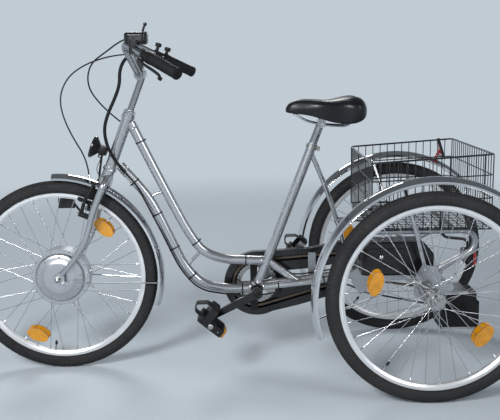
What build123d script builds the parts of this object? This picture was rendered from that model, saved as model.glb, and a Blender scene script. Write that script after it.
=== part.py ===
"""Electric adaptive tricycle with a low step-through frame and a basket between the rear wheels.

Millimetres. +X forward, +Y to the rider's left, +Z up.
The origin is on the floor, midway between the front and rear axles.
"""

import os
from math import atan2, cos, degrees, pi, radians, sin, sqrt

from build123d import *

os.makedirs("parts", exist_ok=True)

# ---------------------------------------------------------------- driving dimensions

# clearances
seat_gap = 0.3  # between loose pieces that rest on each other
weld_gap = 0.2  # between a coped tube end and the tube it is welded to
running_gap = 0.05  # radial clearance of a shaft in its bearing
moving_gap = 6  # between pieces that pass each other

# wheels, all three the same size
wheelbase = 1192
track = 682
tyre_outer = 326.5
tyre_section = 23.5
tyre_wall = 3.5
rim_outer = 286
rim_inner = 269
rim_width = 25
rim_lip = 2
spoke_count = 36
spoke_radius = 1.1
front_phase = 12  # angle of the first spoke at the rim
rear_phase = 14.5
axle_radius = 6
reflector_length = 38
reflector_height = 20.5
reflector_thickness = 5

# front hub motor
motor_radius = 97.5
motor_ring_width = 56
motor_face_radius = 84
motor_width = 84
motor_spoke_circle = 91

# rear hubs
hub_flange_radius = 27.5
hub_barrel_radius = 16
hub_width = 56
hub_outer_end = 58
shaft_radius = 8.5
flange_thickness = 4

# steering
head_slope = 0.4  # the steering axis leans back by this much for each unit of height
fork_offset = 32.5
head_bottom = 412
head_top = 580
head_radius = 18.5
steerer_radius = 12.7
cup_radius = 22
cup_height = 13
crown_thickness = 24
crown_depth = 38
crown_width = 60
blade_spread = 60
stem_radius = 11.2
stem_top = 733
bar_radius = 11
grip_radius = 17
grip_length = 124
grip_cap = 5  # closed end of a grip beyond the bar

# main frame
tube_radius = 16
bracket_ahead = 528  # bottom bracket ahead of the rear axle
bracket_z = 276
bracket_radius = 21
bracket_width = 68
seat_tube_run = 526
seat_tube_lean = 21.5
post_radius = 13.6
stay_spread = 24
stay_radius = 11
strut_radius = 8
brace_radius = 13
bridge_radius = 5

# drive
crank_length = 170
crank_angle = -27
crank_offset = 85
crank_thickness = 12
spindle_radius = 8.5
chain_line = 50
chain_width = 7
chain_height = 8.6
ring_tip_radius = 71
ring_teeth = 34
chain_gap = 5.4
pedal_length = 92
pedal_width = 90
pedal_thickness = 24
pedal_axle_radius = 4.5
strap_thickness = 3
strap_width = 26
strap_ahead = strap_width / 2 + 8
strap_height = 56

# intermediate gear hub
gear_ahead = 146  # gear hub ahead of the rear axle
gear_z = 345
gear_radius = 32
gear_sprocket = 36
second_chain_line = 35

# chain guard
guard_radius = 113
guard_opening = 58
guard_width = 26
guard_wall = 2
guard_slot = 18
guard_tail = 200  # rear end of the guard ahead of the rear axle

# rear axle frame
axle_tube_radius = 25
bearing_face = 222
plate_thickness = 8
rail_width = 16
rail_height = 30
plate_spread = 56
hub_plate_thickness = 6
cross_tube_behind = 72  # rear cross tube behind the rear axle

# carrier and basket
carrier_spread = 200
carrier_radius = 10
carrier_height = 505
cross_bar_radius = 8
front_bar_ahead = 156
rear_bar_behind = 94
basket_ahead = 176  # front wall ahead of the rear axle
basket_length = 365
basket_half_width = 250
basket_front_height = 212
basket_rear_height = 235
wire = 3
rim_wire = 6
wire_pitch = 27

# battery and controller
battery_ahead = 194  # front end ahead of the rear axle
battery_length = 230
battery_right = 82
battery_width = 90
battery_height = 108
tray_thickness = 3

# mudguards
guard_sheet = 1.6
mudguard_width = 55
rear_mudguard_radius = 370
front_mudguard_radius = 350
stay_wire = 2.5
mudguard_crown = 13
mudguard_lip = 7
front_stay_angle = 184

# ---------------------------------------------------------------- derived places

half_base = wheelbase / 2
half_track = track / 2
rear_x = -half_base
bracket_x = rear_x + bracket_ahead
gear_x = rear_x + gear_ahead
guard_rear = rear_x + guard_tail
cross_tube_x = rear_x - cross_tube_behind
basket_front = rear_x + basket_ahead
basket_rear = basket_front - basket_length
battery_front = rear_x + battery_ahead
battery_rear = battery_front - battery_length
front_hub = Vector(half_base, 0, tyre_outer)
rear_left_hub = Vector(-half_base, half_track, tyre_outer)
rear_right_hub = Vector(-half_base, -half_track, tyre_outer)
across = Vector(0, 1, 0)

lean = 1 / sqrt(1 + head_slope**2)
steer_up = Vector(-head_slope * lean, 0, lean)
steer_forward = Vector(lean, 0, head_slope * lean)
steer_foot = front_hub - steer_forward * fork_offset

bracket = Vector(bracket_x, 0, bracket_z)
seat_up = Vector(-sin(radians(seat_tube_lean)), 0, cos(radians(seat_tube_lean)))
seat_tube_top = bracket + seat_up * seat_tube_run


def steer_point(forward, up, left=0):
    """A point given along the steering axis: forward of it, up it, and to the left."""
    return steer_foot + steer_forward * forward + steer_up * up + across * left


head_low = steer_point(0, head_bottom)
head_high = steer_point(0, head_top)


def side(x, z, y=0):
    """A point in the vertical plane at y."""
    return Vector(x, y, z)


def aft(ahead, z, y=0):
    """A point measured forward of the rear axle."""
    return Vector(rear_x + ahead, y, z)


def fore(ahead, z, y=0):
    """A point measured forward of the front axle."""
    return Vector(half_base + ahead, y, z)


def mid_frame(share, z, y=0):
    """A point of the main frame, by its share of the way from bracket to head tube."""
    return Vector(bracket_x + share * (head_low.X - bracket_x), y, z)


def from_rear_axle(outline):
    """A side outline whose corners are measured forward of the rear axle."""
    return [(rear_x + ahead, z) for ahead, z in outline]


def side_plane(y):
    """Sketch plane facing right, whose own axes are +X and +Z."""
    return Plane(origin=(0, y, 0), x_dir=(1, 0, 0), z_dir=(0, -1, 0))


def mirrored(points):
    """The same points on the other side of the vehicle."""
    return [Vector(p.X, -p.Y, p.Z) for p in points]


# ---------------------------------------------------------------- shape helpers


def tube(points, bends, radius, bore=0):
    """Round tube along straight runs joined by arcs, one bend radius for each corner."""
    with BuildPart() as piece:
        with BuildLine() as path:
            if len(points) == 2:
                Line(*points)
            else:
                FilletPolyline(*points, radius=bends)
        with BuildSketch(Plane(origin=path.line @ 0, z_dir=path.line % 0)):
            Circle(radius)
            if bore:
                Circle(bore, mode=Mode.SUBTRACT)
        sweep()
    return piece.part


def smooth_bends(points):
    """The largest arc that each corner of a route has room for."""
    bends = []
    for before, corner, after in zip(points, points[1:], points[2:]):
        way_in = Vector(*corner) - Vector(*before)
        way_out = Vector(*after) - Vector(*corner)
        half_turn = radians(way_in.get_angle(way_out)) / 2
        shorter = min(way_in.length, way_out.length)
        bends.append(0.45 * shorter * cos(half_turn) / sin(half_turn))
    return bends


def rod(start, end, radius):
    """Straight round bar between two points."""
    with BuildPart() as piece:
        with BuildSketch(Plane(origin=start, z_dir=end - start)):
            Circle(radius)
        extrude(amount=(end - start).length)
    return piece.part


def tapered(points, radii):
    """Round tube in a vertical plane whose radius changes from point to point."""
    with BuildPart() as piece:
        for i, (point, radius) in enumerate(zip(points, radii)):
            before = points[max(i - 1, 0)]
            after = points[min(i + 1, len(points) - 1)]
            with BuildSketch(Plane(origin=point, x_dir=(0, 1, 0), z_dir=after - before)):
                Circle(radius)
        loft()
    return piece.part


def turned(centre, outline):
    """Body of revolution about an axle across the vehicle.

    The outline is a list of (offset to the left, radius) corners.
    """
    with BuildPart() as piece:
        with BuildSketch(Plane(origin=centre, x_dir=(0, 1, 0), z_dir=(1, 0, 0))):
            Polygon(*outline, align=None)
        revolve(axis=Axis(centre, across))
    return piece.part


def sheet(outline, y, thickness):
    """Flat plate cut to a side outline, from y to the left by its thickness."""
    with BuildPart() as piece:
        with BuildSketch(side_plane(y)):
            Polygon(*outline, align=None)
        extrude(amount=-thickness)
    return piece.part


def block(low, high):
    """Rectangular block between two corners."""
    with BuildPart() as piece:
        with Locations([(Vector(*low) + Vector(*high)) / 2]):
            Box(*(Vector(*high) - Vector(*low)))
    return piece.part


def arched(centre, radius, width, start, end, crown, lip):
    """Mudguard sheet: a shallow arch revolved about the axle from one angle to another."""
    outward = Vector(cos(radians(start)), 0, sin(radians(start)))
    half = width / 2
    inside = half - guard_sheet
    edge = radius - crown
    foot = edge - lip
    with BuildPart() as piece:
        with BuildSketch(Plane(origin=centre, x_dir=across, z_dir=across.cross(outward))):
            with BuildLine():
                ThreePointArc((-half, edge), (0, radius), (half, edge))
                Polyline((half, edge), (half, foot), (inside, foot), (inside, edge))
                ThreePointArc((inside, edge), (0, radius - guard_sheet), (-inside, edge))
                Polyline((-inside, edge), (-inside, foot), (-half, foot), (-half, edge))
            make_face()
        revolve(axis=Axis(centre, -across), revolution_arc=end - start)
    return piece.part


def save(piece, name):
    """Label a finished piece and write it to its own file."""
    piece.part.label = name
    export_step(piece.part, f"parts/{name}.step")


# ---------------------------------------------------------------- wheels

bead_radius = rim_outer + seat_gap
tyre_centre = tyre_outer - tyre_section
rim_well = rim_outer - 8
bead_width = 3.4
flange_inside = rim_width / 2 - rim_lip


def make_tyre(centre):
    """Open tyre whose two beads sit inside the rim's lips."""
    with BuildPart() as piece:
        with BuildSketch(Plane(origin=centre, x_dir=(0, 1, 0), z_dir=(1, 0, 0))):
            with Locations((0, tyre_centre)):
                Circle(tyre_section)
                Circle(tyre_section - tyre_wall, mode=Mode.SUBTRACT)
            with Locations((0, bead_radius - tyre_section)):
                Rectangle(2 * tyre_section, 2 * tyre_section, mode=Mode.SUBTRACT)
            toe = flange_inside - seat_gap - bead_width / 2
            toe_low = rim_well + seat_gap
            toe_high = bead_radius + 2
            with Locations((toe, (toe_low + toe_high) / 2), (-toe, (toe_low + toe_high) / 2)):
                Rectangle(bead_width, toe_high - toe_low)
            with Locations((flange_inside, bead_radius + 2), (-flange_inside, bead_radius + 2)):
                Rectangle(8, 4)
        revolve(axis=Axis(centre, across))
    return piece


def make_rim(centre):
    """Box rim with a well for the tyre."""
    half = rim_width / 2
    outline = [
        (-half, rim_outer),
        (-half, rim_well - 2),
        (-half + 4.5, rim_inner),
        (half - 4.5, rim_inner),
        (half, rim_well - 2),
        (half, rim_outer),
        (flange_inside, rim_outer),
        (flange_inside, rim_well),
        (-flange_inside, rim_well),
        (-flange_inside, rim_outer),
    ]
    with BuildPart() as piece:
        add(turned(centre, outline))
    return piece


def spoke_places(centre, phase, hub_circle, sweep_angle, start_offset, end_offset, first):
    """Mid-plane and length of every fourth spoke, from the hub circle to the rim."""
    places = []
    for i in range(first, spoke_count, 4):
        at_rim = radians(phase) + 2 * pi * i / spoke_count
        at_hub = at_rim + radians(sweep_angle)
        hub_end = centre + Vector(hub_circle * cos(at_hub), start_offset, hub_circle * sin(at_hub))
        reach = rim_inner - seat_gap
        rim_end = centre + Vector(reach * cos(at_rim), end_offset, reach * sin(at_rim))
        length = (rim_end - hub_end).length
        places.append(Plane(origin=(hub_end + rim_end) / 2, z_dir=rim_end - hub_end))
    return places, length


def make_spokes(centre, phase, hub_circle, sweep_angle, outer_start, inner_start):
    """Laced spokes: on each side half of them lead and half of them trail."""
    rows = [
        (-sweep_angle, outer_start, 4.5, 0),
        (-sweep_angle, -outer_start, -4.5, 1),
        (sweep_angle, inner_start, 1.5, 2),
        (sweep_angle, -inner_start, -1.5, 3),
    ]
    with BuildPart() as piece:
        for turn, start_offset, end_offset, first in rows:
            places, length = spoke_places(
                centre, phase, hub_circle, turn, start_offset, end_offset, first
            )
            with Locations(*places):
                Cylinder(spoke_radius, length)
    return piece


def make_reflectors(centre, angles, radius, hub_circle, outer_start, inset):
    """Oval reflectors clipped across the spokes, one part of each on either side of them."""
    share = (radius - inset * reflector_height - hub_circle) / (rim_inner - hub_circle)
    spoke_offset = outer_start + (4.5 - outer_start) * share + spoke_radius
    lens_offset = spoke_offset + reflector_thickness / 2 + seat_gap
    with BuildPart() as piece:
        for angle in angles:
            turn = radians(angle)
            spot = centre + Vector(radius * cos(turn), 0, radius * sin(turn))
            along = Vector(-sin(turn), 0, cos(turn))
            for offset in (-lens_offset, lens_offset):
                face = Plane(origin=spot + across * offset, x_dir=along, z_dir=(0, 1, 0))
                with BuildSketch(face):
                    Ellipse(reflector_length, reflector_height)
                extrude(amount=reflector_thickness / 2, both=True)
    return piece


motor_ring = motor_ring_width / 2
motor_half = motor_width / 2
motor_boss = 18
motor_end = 48
motor_outline = [
    (-motor_ring, motor_radius),
    (motor_ring, motor_radius),
    (motor_ring, motor_face_radius),
    (motor_ring + 8, motor_face_radius - 5),
    (motor_half, 55),
    (motor_half, motor_boss + 4),
    (motor_end, motor_boss),
    (motor_end, axle_radius + running_gap),
    (-motor_end, axle_radius + running_gap),
    (-motor_end, motor_boss),
    (-motor_half, motor_boss + 4),
    (-motor_half, 55),
    (-motor_ring - 8, motor_face_radius - 5),
    (-motor_ring, motor_face_radius),
]

front_tyre = make_tyre(front_hub)
save(front_tyre, "front_tyre")

front_rim = make_rim(front_hub)
save(front_rim, "front_rim")

front_spokes = make_spokes(front_hub, front_phase, motor_spoke_circle, 20, motor_ring + 6, motor_ring + 3)
save(front_spokes, "front_spokes")

with BuildPart() as front_hub_motor:
    add(turned(front_hub, motor_outline))
save(front_hub_motor, "front_hub_motor")

front_reflectors = make_reflectors(front_hub, [133, -66], 225, motor_spoke_circle, motor_ring + 6, 0.8)
save(front_reflectors, "front_reflectors")

hub_half = hub_width / 2
bearing_depth = 40


def make_rear_hub(centre, outward, shaft_end, sprocket_offset=0):
    """Rear hub and its half shaft. Outward is 1 on the left and -1 on the right."""
    inner = [
        (-hub_half - 6, hub_barrel_radius),
        (-hub_half, hub_barrel_radius),
        (-hub_half, hub_flange_radius),
        (-hub_half + flange_thickness, hub_flange_radius),
        (-hub_half + flange_thickness, hub_barrel_radius),
    ]
    outer = [
        (hub_half - flange_thickness, hub_barrel_radius),
        (hub_half - flange_thickness, hub_flange_radius),
        (hub_half, hub_flange_radius),
        (hub_half, 20),
        (hub_half + 10, 17),
        (hub_half + 10, 11),
        (hub_outer_end, 9),
        (hub_outer_end, 0),
    ]
    outline = [(shaft_end, 0), (shaft_end, shaft_radius), (-hub_half - 6, shaft_radius)]
    outline += inner + outer
    with BuildPart() as piece:
        add(turned(centre, [(outward * offset, radius) for offset, radius in outline]))
        if sprocket_offset:
            with BuildSketch(side_plane(centre.Y + outward * sprocket_offset)):
                with Locations((centre.X, centre.Z)):
                    Circle(gear_sprocket)
            extrude(amount=1.5, both=True)
    return piece


for side_name, outward, hub_centre in (("left", 1, rear_left_hub), ("right", -1, rear_right_hub)):
    rear_tyre = make_tyre(hub_centre)
    save(rear_tyre, f"rear_{side_name}_tyre")
    rear_rim = make_rim(hub_centre)
    save(rear_rim, f"rear_{side_name}_rim")
    rear_spokes = make_spokes(
        hub_centre, rear_phase, hub_flange_radius - 4, 60, hub_half + 3, hub_half - flange_thickness - 1.5
    )
    save(rear_spokes, f"rear_{side_name}_spokes")
    rear_reflectors = make_reflectors(
        hub_centre, [17, 217.5], 185, hub_flange_radius - 4, hub_half + 3, 0.6
    )
    save(rear_reflectors, f"rear_{side_name}_reflectors")

rear_left_hub_piece = make_rear_hub(
    rear_left_hub, 1, 20 - half_track, sprocket_offset=second_chain_line - half_track
)
save(rear_left_hub_piece, "rear_left_hub")
rear_right_hub_piece = make_rear_hub(rear_right_hub, -1, bearing_face - plate_thickness - 6 - half_track)
save(rear_right_hub_piece, "rear_right_hub")

# ---------------------------------------------------------------- fork, stem and handlebar

crown_height = front_mudguard_radius + crown_thickness / 2 + seat_gap
blade_points = [
    (-4, 332),
    (-3, 310),
    (-2, 285),
    (-2, 255),
    (-5, 221),
    (-8, 186),
    (-8, 160),
    (-3, 123),
    (6, 84),
    (19, 42),
    (28, 20),
]
blade_radii = [12.2, 12, 11.7, 11.5, 11, 11, 10.5, 10, 9.5, 9, 8.5]
dropout_thickness = 6
dropout_face = blade_spread - dropout_thickness / 2


def blade(left, growth=0):
    """One tapered and curved fork blade, grown all round to cut a seat beside it."""
    points = [steer_point(forward, up, left * blade_spread) for forward, up in blade_points]
    return tapered(points, [radius + growth for radius in blade_radii])


with BuildPart() as fork:
    add(rod(steer_point(0, crown_height - 6), steer_point(0, head_top + 34), steerer_radius))
    add(rod(steer_point(0, crown_height + 6), steer_point(0, head_bottom - cup_height - seat_gap), 19))
    add(rod(steer_point(0, head_top + cup_height + seat_gap), steer_point(0, head_top + 30), 19))
    with BuildSketch(Plane(origin=steer_point(0, crown_height), x_dir=steer_forward, z_dir=steer_up)):
        RectangleRounded(crown_depth, crown_width, 12)
    extrude(amount=crown_thickness / 2, both=True)
    for left in (1, -1):
        shoulder = [
            steer_point(-5, crown_height + 18, left * 6),
            steer_point(-5, crown_height - 2, left * blade_spread),
            steer_point(-3, 312, left * blade_spread),
        ]
        add(tube(shoulder, [24], blade_radii[0] - 0.6))
        add(blade(left))
        drop_plane = Plane(
            origin=steer_point(0, 0, left * blade_spread), x_dir=steer_forward, z_dir=across
        )
        with BuildSketch(drop_plane):
            with Locations((fork_offset, 0)):
                Circle(13)
            with Locations((28, -22)):
                Circle(9)
            with Locations((fork_offset - 17, 5)):
                Circle(8)
            make_hull()
            with Locations((fork_offset, 0)):
                Circle(axle_radius + running_gap, mode=Mode.SUBTRACT)
        extrude(amount=dropout_thickness / 2, both=True)
save(fork, "fork")

with BuildPart() as front_axle:
    nut = blade_spread + dropout_thickness / 2 + seat_gap
    add(rod(front_hub - across * (nut + 10), front_hub + across * (nut + 10), axle_radius))
    for left in (1, -1):
        with BuildSketch(side_plane(left * nut)):
            with Locations((front_hub.X, front_hub.Z)):
                RegularPolygon(10.5, 6)
        extrude(amount=-left * 8)
        with BuildSketch(side_plane(left * (motor_end + seat_gap))):
            with Locations((front_hub.X, front_hub.Z)):
                Circle(9)
        extrude(amount=-left * (dropout_face - motor_end - 2 * seat_gap))
save(front_axle, "front_axle")

clamp_centre = steer_point(8, stem_top)
with BuildPart() as stem:
    add(rod(steer_point(0, head_top + 34.3), steer_point(0, stem_top - 8), stem_radius))
    add(rod(clamp_centre - across * 24, clamp_centre + across * 24, 19))
    with BuildSketch(Plane(origin=clamp_centre - across * 24, z_dir=across)):
        Circle(bar_radius + weld_gap)
    extrude(amount=48, mode=Mode.SUBTRACT)
save(stem, "stem")

# the handlebar leaves its clamp, rises forward, and sweeps back to the grips
grip_end = fore(-444, 1000, 300)
grip_way = Vector(-0.68, 0.64, -0.36).normalized()
bar_top = grip_end - grip_way * 276
bar_shoulder = clamp_centre + across * 46
left_bar = [bar_shoulder, bar_top, grip_end - grip_way * grip_cap]
bar_points = mirrored(reversed(left_bar)) + left_bar
bar_bends = [36, 34, 34, 36]
with BuildPart() as handlebar:
    add(tube(bar_points, bar_bends, bar_radius))
save(handlebar, "handlebar")

with BuildPart() as grips:
    for left in (1, -1):
        end = Vector(grip_end.X, left * grip_end.Y, grip_end.Z)
        way = Vector(grip_way.X, left * grip_way.Y, grip_way.Z)
        start = end - way * grip_length
        add(rod(start, end, grip_radius))
        with BuildSketch(Plane(origin=start, z_dir=way)):
            Circle(bar_radius + weld_gap)
        extrude(amount=grip_length - grip_cap + seat_gap, mode=Mode.SUBTRACT)
save(grips, "grips")

lever_pivot = 152
lever_blade = [(-152, 20), (-134, 28), (-108, 29), (-78, 30), (-50, 33), (-37, 41)]

with BuildPart() as brake_levers:
    for left in (1, -1):
        end = Vector(grip_end.X, left * grip_end.Y, grip_end.Z)
        way = Vector(grip_way.X, left * grip_way.Y, grip_way.Z)
        up = (Vector(0, 0, 1) - way * way.Z).normalized()
        forward = way.cross(up) * left
        drop = (forward * 0.75 - up * 0.66).normalized()
        clamp = end - way * lever_pivot
        lever = [end + way * along + drop * down for along, down in lever_blade]
        with BuildSketch(Plane(origin=clamp - way * 11, z_dir=way)):
            Circle(15)
            Circle(bar_radius + weld_gap, mode=Mode.SUBTRACT)
        extrude(amount=22)
        add(rod(clamp + drop * 14, clamp + drop * 26, 9))
        add(tube(lever, smooth_bends(lever), 4.5))
        add(rod(lever[-1] - way * 4, lever[-1] + way * 4, 6))
save(brake_levers, "brake_levers")

# display console with its stick lever, clamped on the left rise of the bar
console_point = grip_end - grip_way * 214
with BuildPart() as console_body:
    with BuildSketch(Plane.XY.offset(console_point.Z + bar_radius)):
        with Locations((console_point.X - 6, console_point.Y - 28)):
            RectangleRounded(72, 58, 18)
    extrude(amount=38)
    fillet(console_body.edges().group_by(Axis.Z)[0], 14)
    fillet(console_body.edges().group_by(Axis.Z)[-1], 9)
with BuildPart() as console:
    add(console_body.part)
    with BuildSketch(Plane.XY.offset(console_point.Z - bar_radius - 6)):
        with Locations((console_point.X, console_point.Y)):
            RectangleRounded(26, 26, 5)
    extrude(amount=2 * bar_radius + 20)
    add(tube(bar_points, bar_bends, bar_radius + weld_gap), mode=Mode.SUBTRACT)
    stick_base = Vector(console_point.X - 26, console_point.Y - 28, console_point.Z + bar_radius + 40)
    add(rod(stick_base, stick_base + Vector(-8, 0, 20), 3.5))
    with Locations(stick_base + Vector(-9, 0, 22)):
        Sphere(6)
save(console, "console")

with BuildPart() as bar_controls:
    for left, along, half_ring, ring_radius in ((-1, 132, 6, 19), (-1, 174, 8, 15), (1, 132, 6, 19)):
        way = Vector(grip_way.X, left * grip_way.Y, grip_way.Z)
        centre = Vector(grip_end.X, left * grip_end.Y, grip_end.Z) - way * along
        with BuildSketch(Plane(origin=centre - way * half_ring, z_dir=way)):
            Circle(ring_radius)
            Circle(bar_radius + weld_gap, mode=Mode.SUBTRACT)
        extrude(amount=2 * half_ring)
        if left < 0:
            raised = (Vector(0, 0, 1) - way * way.Z).normalized()
            add(rod(centre + raised * (bar_radius + 1.5), centre + raised * 36, 5.5))
            add(rod(centre + raised * 30, centre + raised * 40, 11))
save(bar_controls, "bar_controls")

# ---------------------------------------------------------------- headlamp, front mudguard and brake

lamp_axis = Vector(cos(radians(22)), 0, sin(radians(22)))
lamp_down = Vector(lamp_axis.Z, 0, -lamp_axis.X)
lens_centre = fore(-133, 763)
with BuildPart() as headlamp:
    with BuildSketch(Plane(origin=lens_centre, x_dir=(0, 1, 0), z_dir=lamp_axis)):
        Circle(37)
    extrude(amount=5)
    with BuildSketch(Plane(origin=lens_centre, x_dir=(0, 1, 0), z_dir=-lamp_axis)):
        Circle(37)
    with BuildSketch(Plane(origin=lens_centre - lamp_axis * 24, x_dir=(0, 1, 0), z_dir=-lamp_axis)):
        Circle(20)
    loft()
    add(rod(lens_centre - lamp_axis * 24, lens_centre - lamp_axis * 40, 19))

crown_front = steer_point(crown_depth / 2 + seat_gap, crown_height)
bracket_path = [
    crown_front + Vector(1.5, 0, 0),
    fore(-140, 700),
    lens_centre - lamp_axis * 31 + lamp_down * 20,
]
with BuildPart() as lamp_bracket:
    with BuildLine():
        FilletPolyline(*bracket_path, radius=30)
    with BuildSketch(Plane(origin=bracket_path[0], x_dir=(0, 1, 0), z_dir=bracket_path[1] - bracket_path[0])):
        Rectangle(20, 3)
    sweep()
with BuildPart() as headlamp_on_bracket:
    add(headlamp.part)
    add(lamp_bracket.part)
save(headlamp_on_bracket, "headlamp")

with BuildPart() as front_mudguard:
    add(arched(front_hub, front_mudguard_radius, mudguard_width, 88, 198, mudguard_crown, mudguard_lip))
    for left in (1, -1):
        reach = front_mudguard_radius - mudguard_crown - mudguard_lip / 2
        tip = Vector(
            front_hub.X + reach * cos(radians(front_stay_angle)),
            left * (mudguard_width / 2 + stay_wire + seat_gap),
            front_hub.Z + reach * sin(radians(front_stay_angle)),
        )
        eye_y = left * (blade_spread + dropout_thickness / 2 + stay_wire + 2.5 * seat_gap)
        add(rod(steer_point(fork_offset - 17, -5, eye_y), tip, stay_wire))
save(front_mudguard, "front_mudguard")

brake_arm_radius = 6
with BuildPart() as front_brake:
    for left in (1, -1):
        pivot = steer_point(0, 238, left * 57)
        add(rod(pivot, pivot + steer_forward * 40, 9))
        arm = [
            pivot + steer_forward * 32,
            steer_point(38, 284, left * 50),
            steer_point(30, 318, left * 46),
            steer_point(26, 352, left * 41),
        ]
        add(tube(arm, smooth_bends(arm), brake_arm_radius))
        pad_y = left * (rim_width / 2 + moving_gap + 6)
        pad = steer_point(fork_offset + 2, (rim_inner + rim_outer) / 2 - 1, pad_y)
        add(rod(pad, steer_point(37, 279, left * 50), 5))
        add(blade(left, seat_gap), mode=Mode.SUBTRACT)
        with Locations(Plane(origin=pad, x_dir=steer_forward, z_dir=across)):
            Box(50, 12, 10)
save(front_brake, "front_brake")

with BuildPart() as sensor_box:
    with Locations(fore(-21, 572, -40)):
        Box(54, 18, 38)
    arm = [fore(-44, 570, -40), fore(-66, 536, -48), steer_point(0, 190, -59)]
    add(tube(arm, smooth_bends(arm), 4))
    add(blade(-1, seat_gap), mode=Mode.SUBTRACT)
save(sensor_box, "sensor_box")

brake_cable_route = [
    fore(-320.6, 1045.7, -204.5),
    fore(-278, 1061, -165),
    fore(-222, 1065, -126),
    fore(-160, 1054, -95),
    fore(-98, 1031, -73),
    fore(-48, 996, -60),
    fore(-22, 948, -47),
    fore(-19, 900, -34),
    fore(-36, 845, -20),
    fore(-64, 790, -8),
    fore(-96, 740, 4),
    fore(-114, 696, 26),
    fore(-121.3, 649.5, 41),
]


def cable(points, radius):
    """Cable along its route, with the smallest bend radius printed."""
    bends = smooth_bends(points)
    print("smallest cable bend", round(min(bends), 1), "at diameter", 2 * radius)
    return tube([Vector(*p) for p in points], bends, radius)


with BuildPart() as front_brake_cable:
    add(cable(brake_cable_route, 2.5))
save(front_brake_cable, "front_brake_cable")

# ---------------------------------------------------------------- main frame

def cope(start, end, radius):
    """Solid to cut away where a tube meets another one."""
    return rod(start, end, radius + weld_gap)


with BuildPart() as head_tube:
    add(rod(head_low, head_high, head_radius))
    add(rod(head_low - steer_up * cup_height, head_low, cup_radius))
    add(rod(head_high, head_high + steer_up * cup_height, cup_radius))
    bore_start = head_low - steer_up * (cup_height + 1)
    bore_end = head_high + steer_up * (cup_height + 1)
    add(rod(bore_start, bore_end, steerer_radius + running_gap), mode=Mode.SUBTRACT)
save(head_tube, "head_tube")

upper_points = [
    mid_frame(0.8486, 842),
    mid_frame(0.7259, 714),
    mid_frame(0.5636, 553),
    mid_frame(0.4742, 468),
    mid_frame(0.3744, 400),
    mid_frame(0.2246, 373),
    side(bracket_x - 36, 366),
]
upper_bends = smooth_bends(upper_points)
with BuildPart() as upper_tube:
    add(tube(upper_points, upper_bends, tube_radius))
    add(cope(head_low, head_high, head_radius), mode=Mode.SUBTRACT)
    add(cope(head_high, head_high + steer_up * cup_height, cup_radius), mode=Mode.SUBTRACT)
    add(cope(bracket, seat_tube_top, tube_radius), mode=Mode.SUBTRACT)
save(upper_tube, "upper_tube")

lower_points = [
    mid_frame(0.9338, 701),
    mid_frame(0.7363, 589),
    mid_frame(0.6323, 482),
    mid_frame(0.5116, 354),
    mid_frame(0.3910, 287),
    mid_frame(0.2038, 270),
    side(bracket_x, 271),
]
with BuildPart() as lower_tube:
    add(tube(lower_points, smooth_bends(lower_points), tube_radius))
    for route in (
        [mid_frame(0.738, 590), mid_frame(0.699, 602), mid_frame(0.624, 612)],
        [mid_frame(0.495, 345), mid_frame(0.453, 374), mid_frame(0.387, 405)],
    ):
        add(tube(route, smooth_bends(route), bridge_radius))
    add(tube(upper_points, upper_bends, tube_radius + weld_gap), mode=Mode.SUBTRACT)
    add(cope(head_low, head_high, head_radius), mode=Mode.SUBTRACT)
    add(cope(head_low - steer_up * cup_height, head_low, cup_radius), mode=Mode.SUBTRACT)
    add(cope(bracket - across * 60, bracket + across * 60, bracket_radius), mode=Mode.SUBTRACT)
save(lower_tube, "lower_tube")

half_bracket = bracket_width / 2
with BuildPart() as seat_tube:
    add(rod(bracket, seat_tube_top, tube_radius))
    add(rod(bracket - across * half_bracket, bracket + across * half_bracket, bracket_radius))
    with BuildSketch(Plane(origin=seat_tube_top, z_dir=-seat_up)):
        Circle(post_radius + running_gap)
    extrude(amount=170, mode=Mode.SUBTRACT)
    bore_reach = across * (half_bracket + 1)
    add(rod(bracket - bore_reach, bracket + bore_reach, spindle_radius + running_gap), mode=Mode.SUBTRACT)
save(seat_tube, "seat_tube")

block_front = rear_x + 224
block_rear = rear_x + 196
block_low = 308
block_high = 332
web_low = 290
web_high = 296
stay_points = [side(bracket_x, 280), side(bracket_x - 146, 293), side(block_front - 4, 314)]
with BuildPart() as chainstays:
    for left in (1, -1):
        stay = [p + across * left * stay_spread for p in stay_points]
        add(tube(stay, smooth_bends(stay), stay_radius))
    add(block((block_rear, -plate_spread, block_low), (block_front, plate_spread, block_high)))
    add(block((bracket_x - 160, -stay_spread, web_low), (bracket_x - 112, stay_spread, web_high)))
    add(rod(side(bracket_x - 44, 362), side(bracket_x - 144, web_low), brace_radius))
    add(cope(bracket, seat_tube_top, tube_radius), mode=Mode.SUBTRACT)
    add(cope(bracket - across * 60, bracket + across * 60, bracket_radius), mode=Mode.SUBTRACT)
save(chainstays, "chainstays")

strut_top = seat_tube_top - seat_up * 26
strut_points = [
    strut_top,
    side(bracket_x - 246, 589),
    side(block_front + 10, 434),
    side(block_front - 14, 320),
]
with BuildPart() as rear_strut:
    add(tube(strut_points, smooth_bends(strut_points), strut_radius))
    add(cope(bracket, seat_tube_top, tube_radius), mode=Mode.SUBTRACT)
    seat_of_strut = (block_front + 20, 30, block_high + weld_gap)
    add(block((block_rear - 20, -30, block_low), seat_of_strut), mode=Mode.SUBTRACT)
save(rear_strut, "rear_strut")

post_top = seat_tube_top + seat_up * 72
rail_radius = 3.5


def on_post(ahead, above, left=0):
    """A point measured forward of the top of the seat post and above it."""
    return post_top + Vector(ahead, left, above)


with BuildPart() as seat_post:
    add(rod(seat_tube_top - seat_up * 150, post_top, post_radius))
    add(rod(post_top - across * 28, post_top + across * 28, 14))
    for left in (1, -1):
        rail = [
            on_post(90, 30.7, left * 8),
            on_post(46, 4, left * 18),
            on_post(-12, -8, left * 22),
            on_post(-84, -13, left * 26),
            on_post(-112, 21, left * 38),
        ]
        add(tube(rail, smooth_bends(rail), rail_radius))
save(seat_post, "seat_post")

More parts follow.
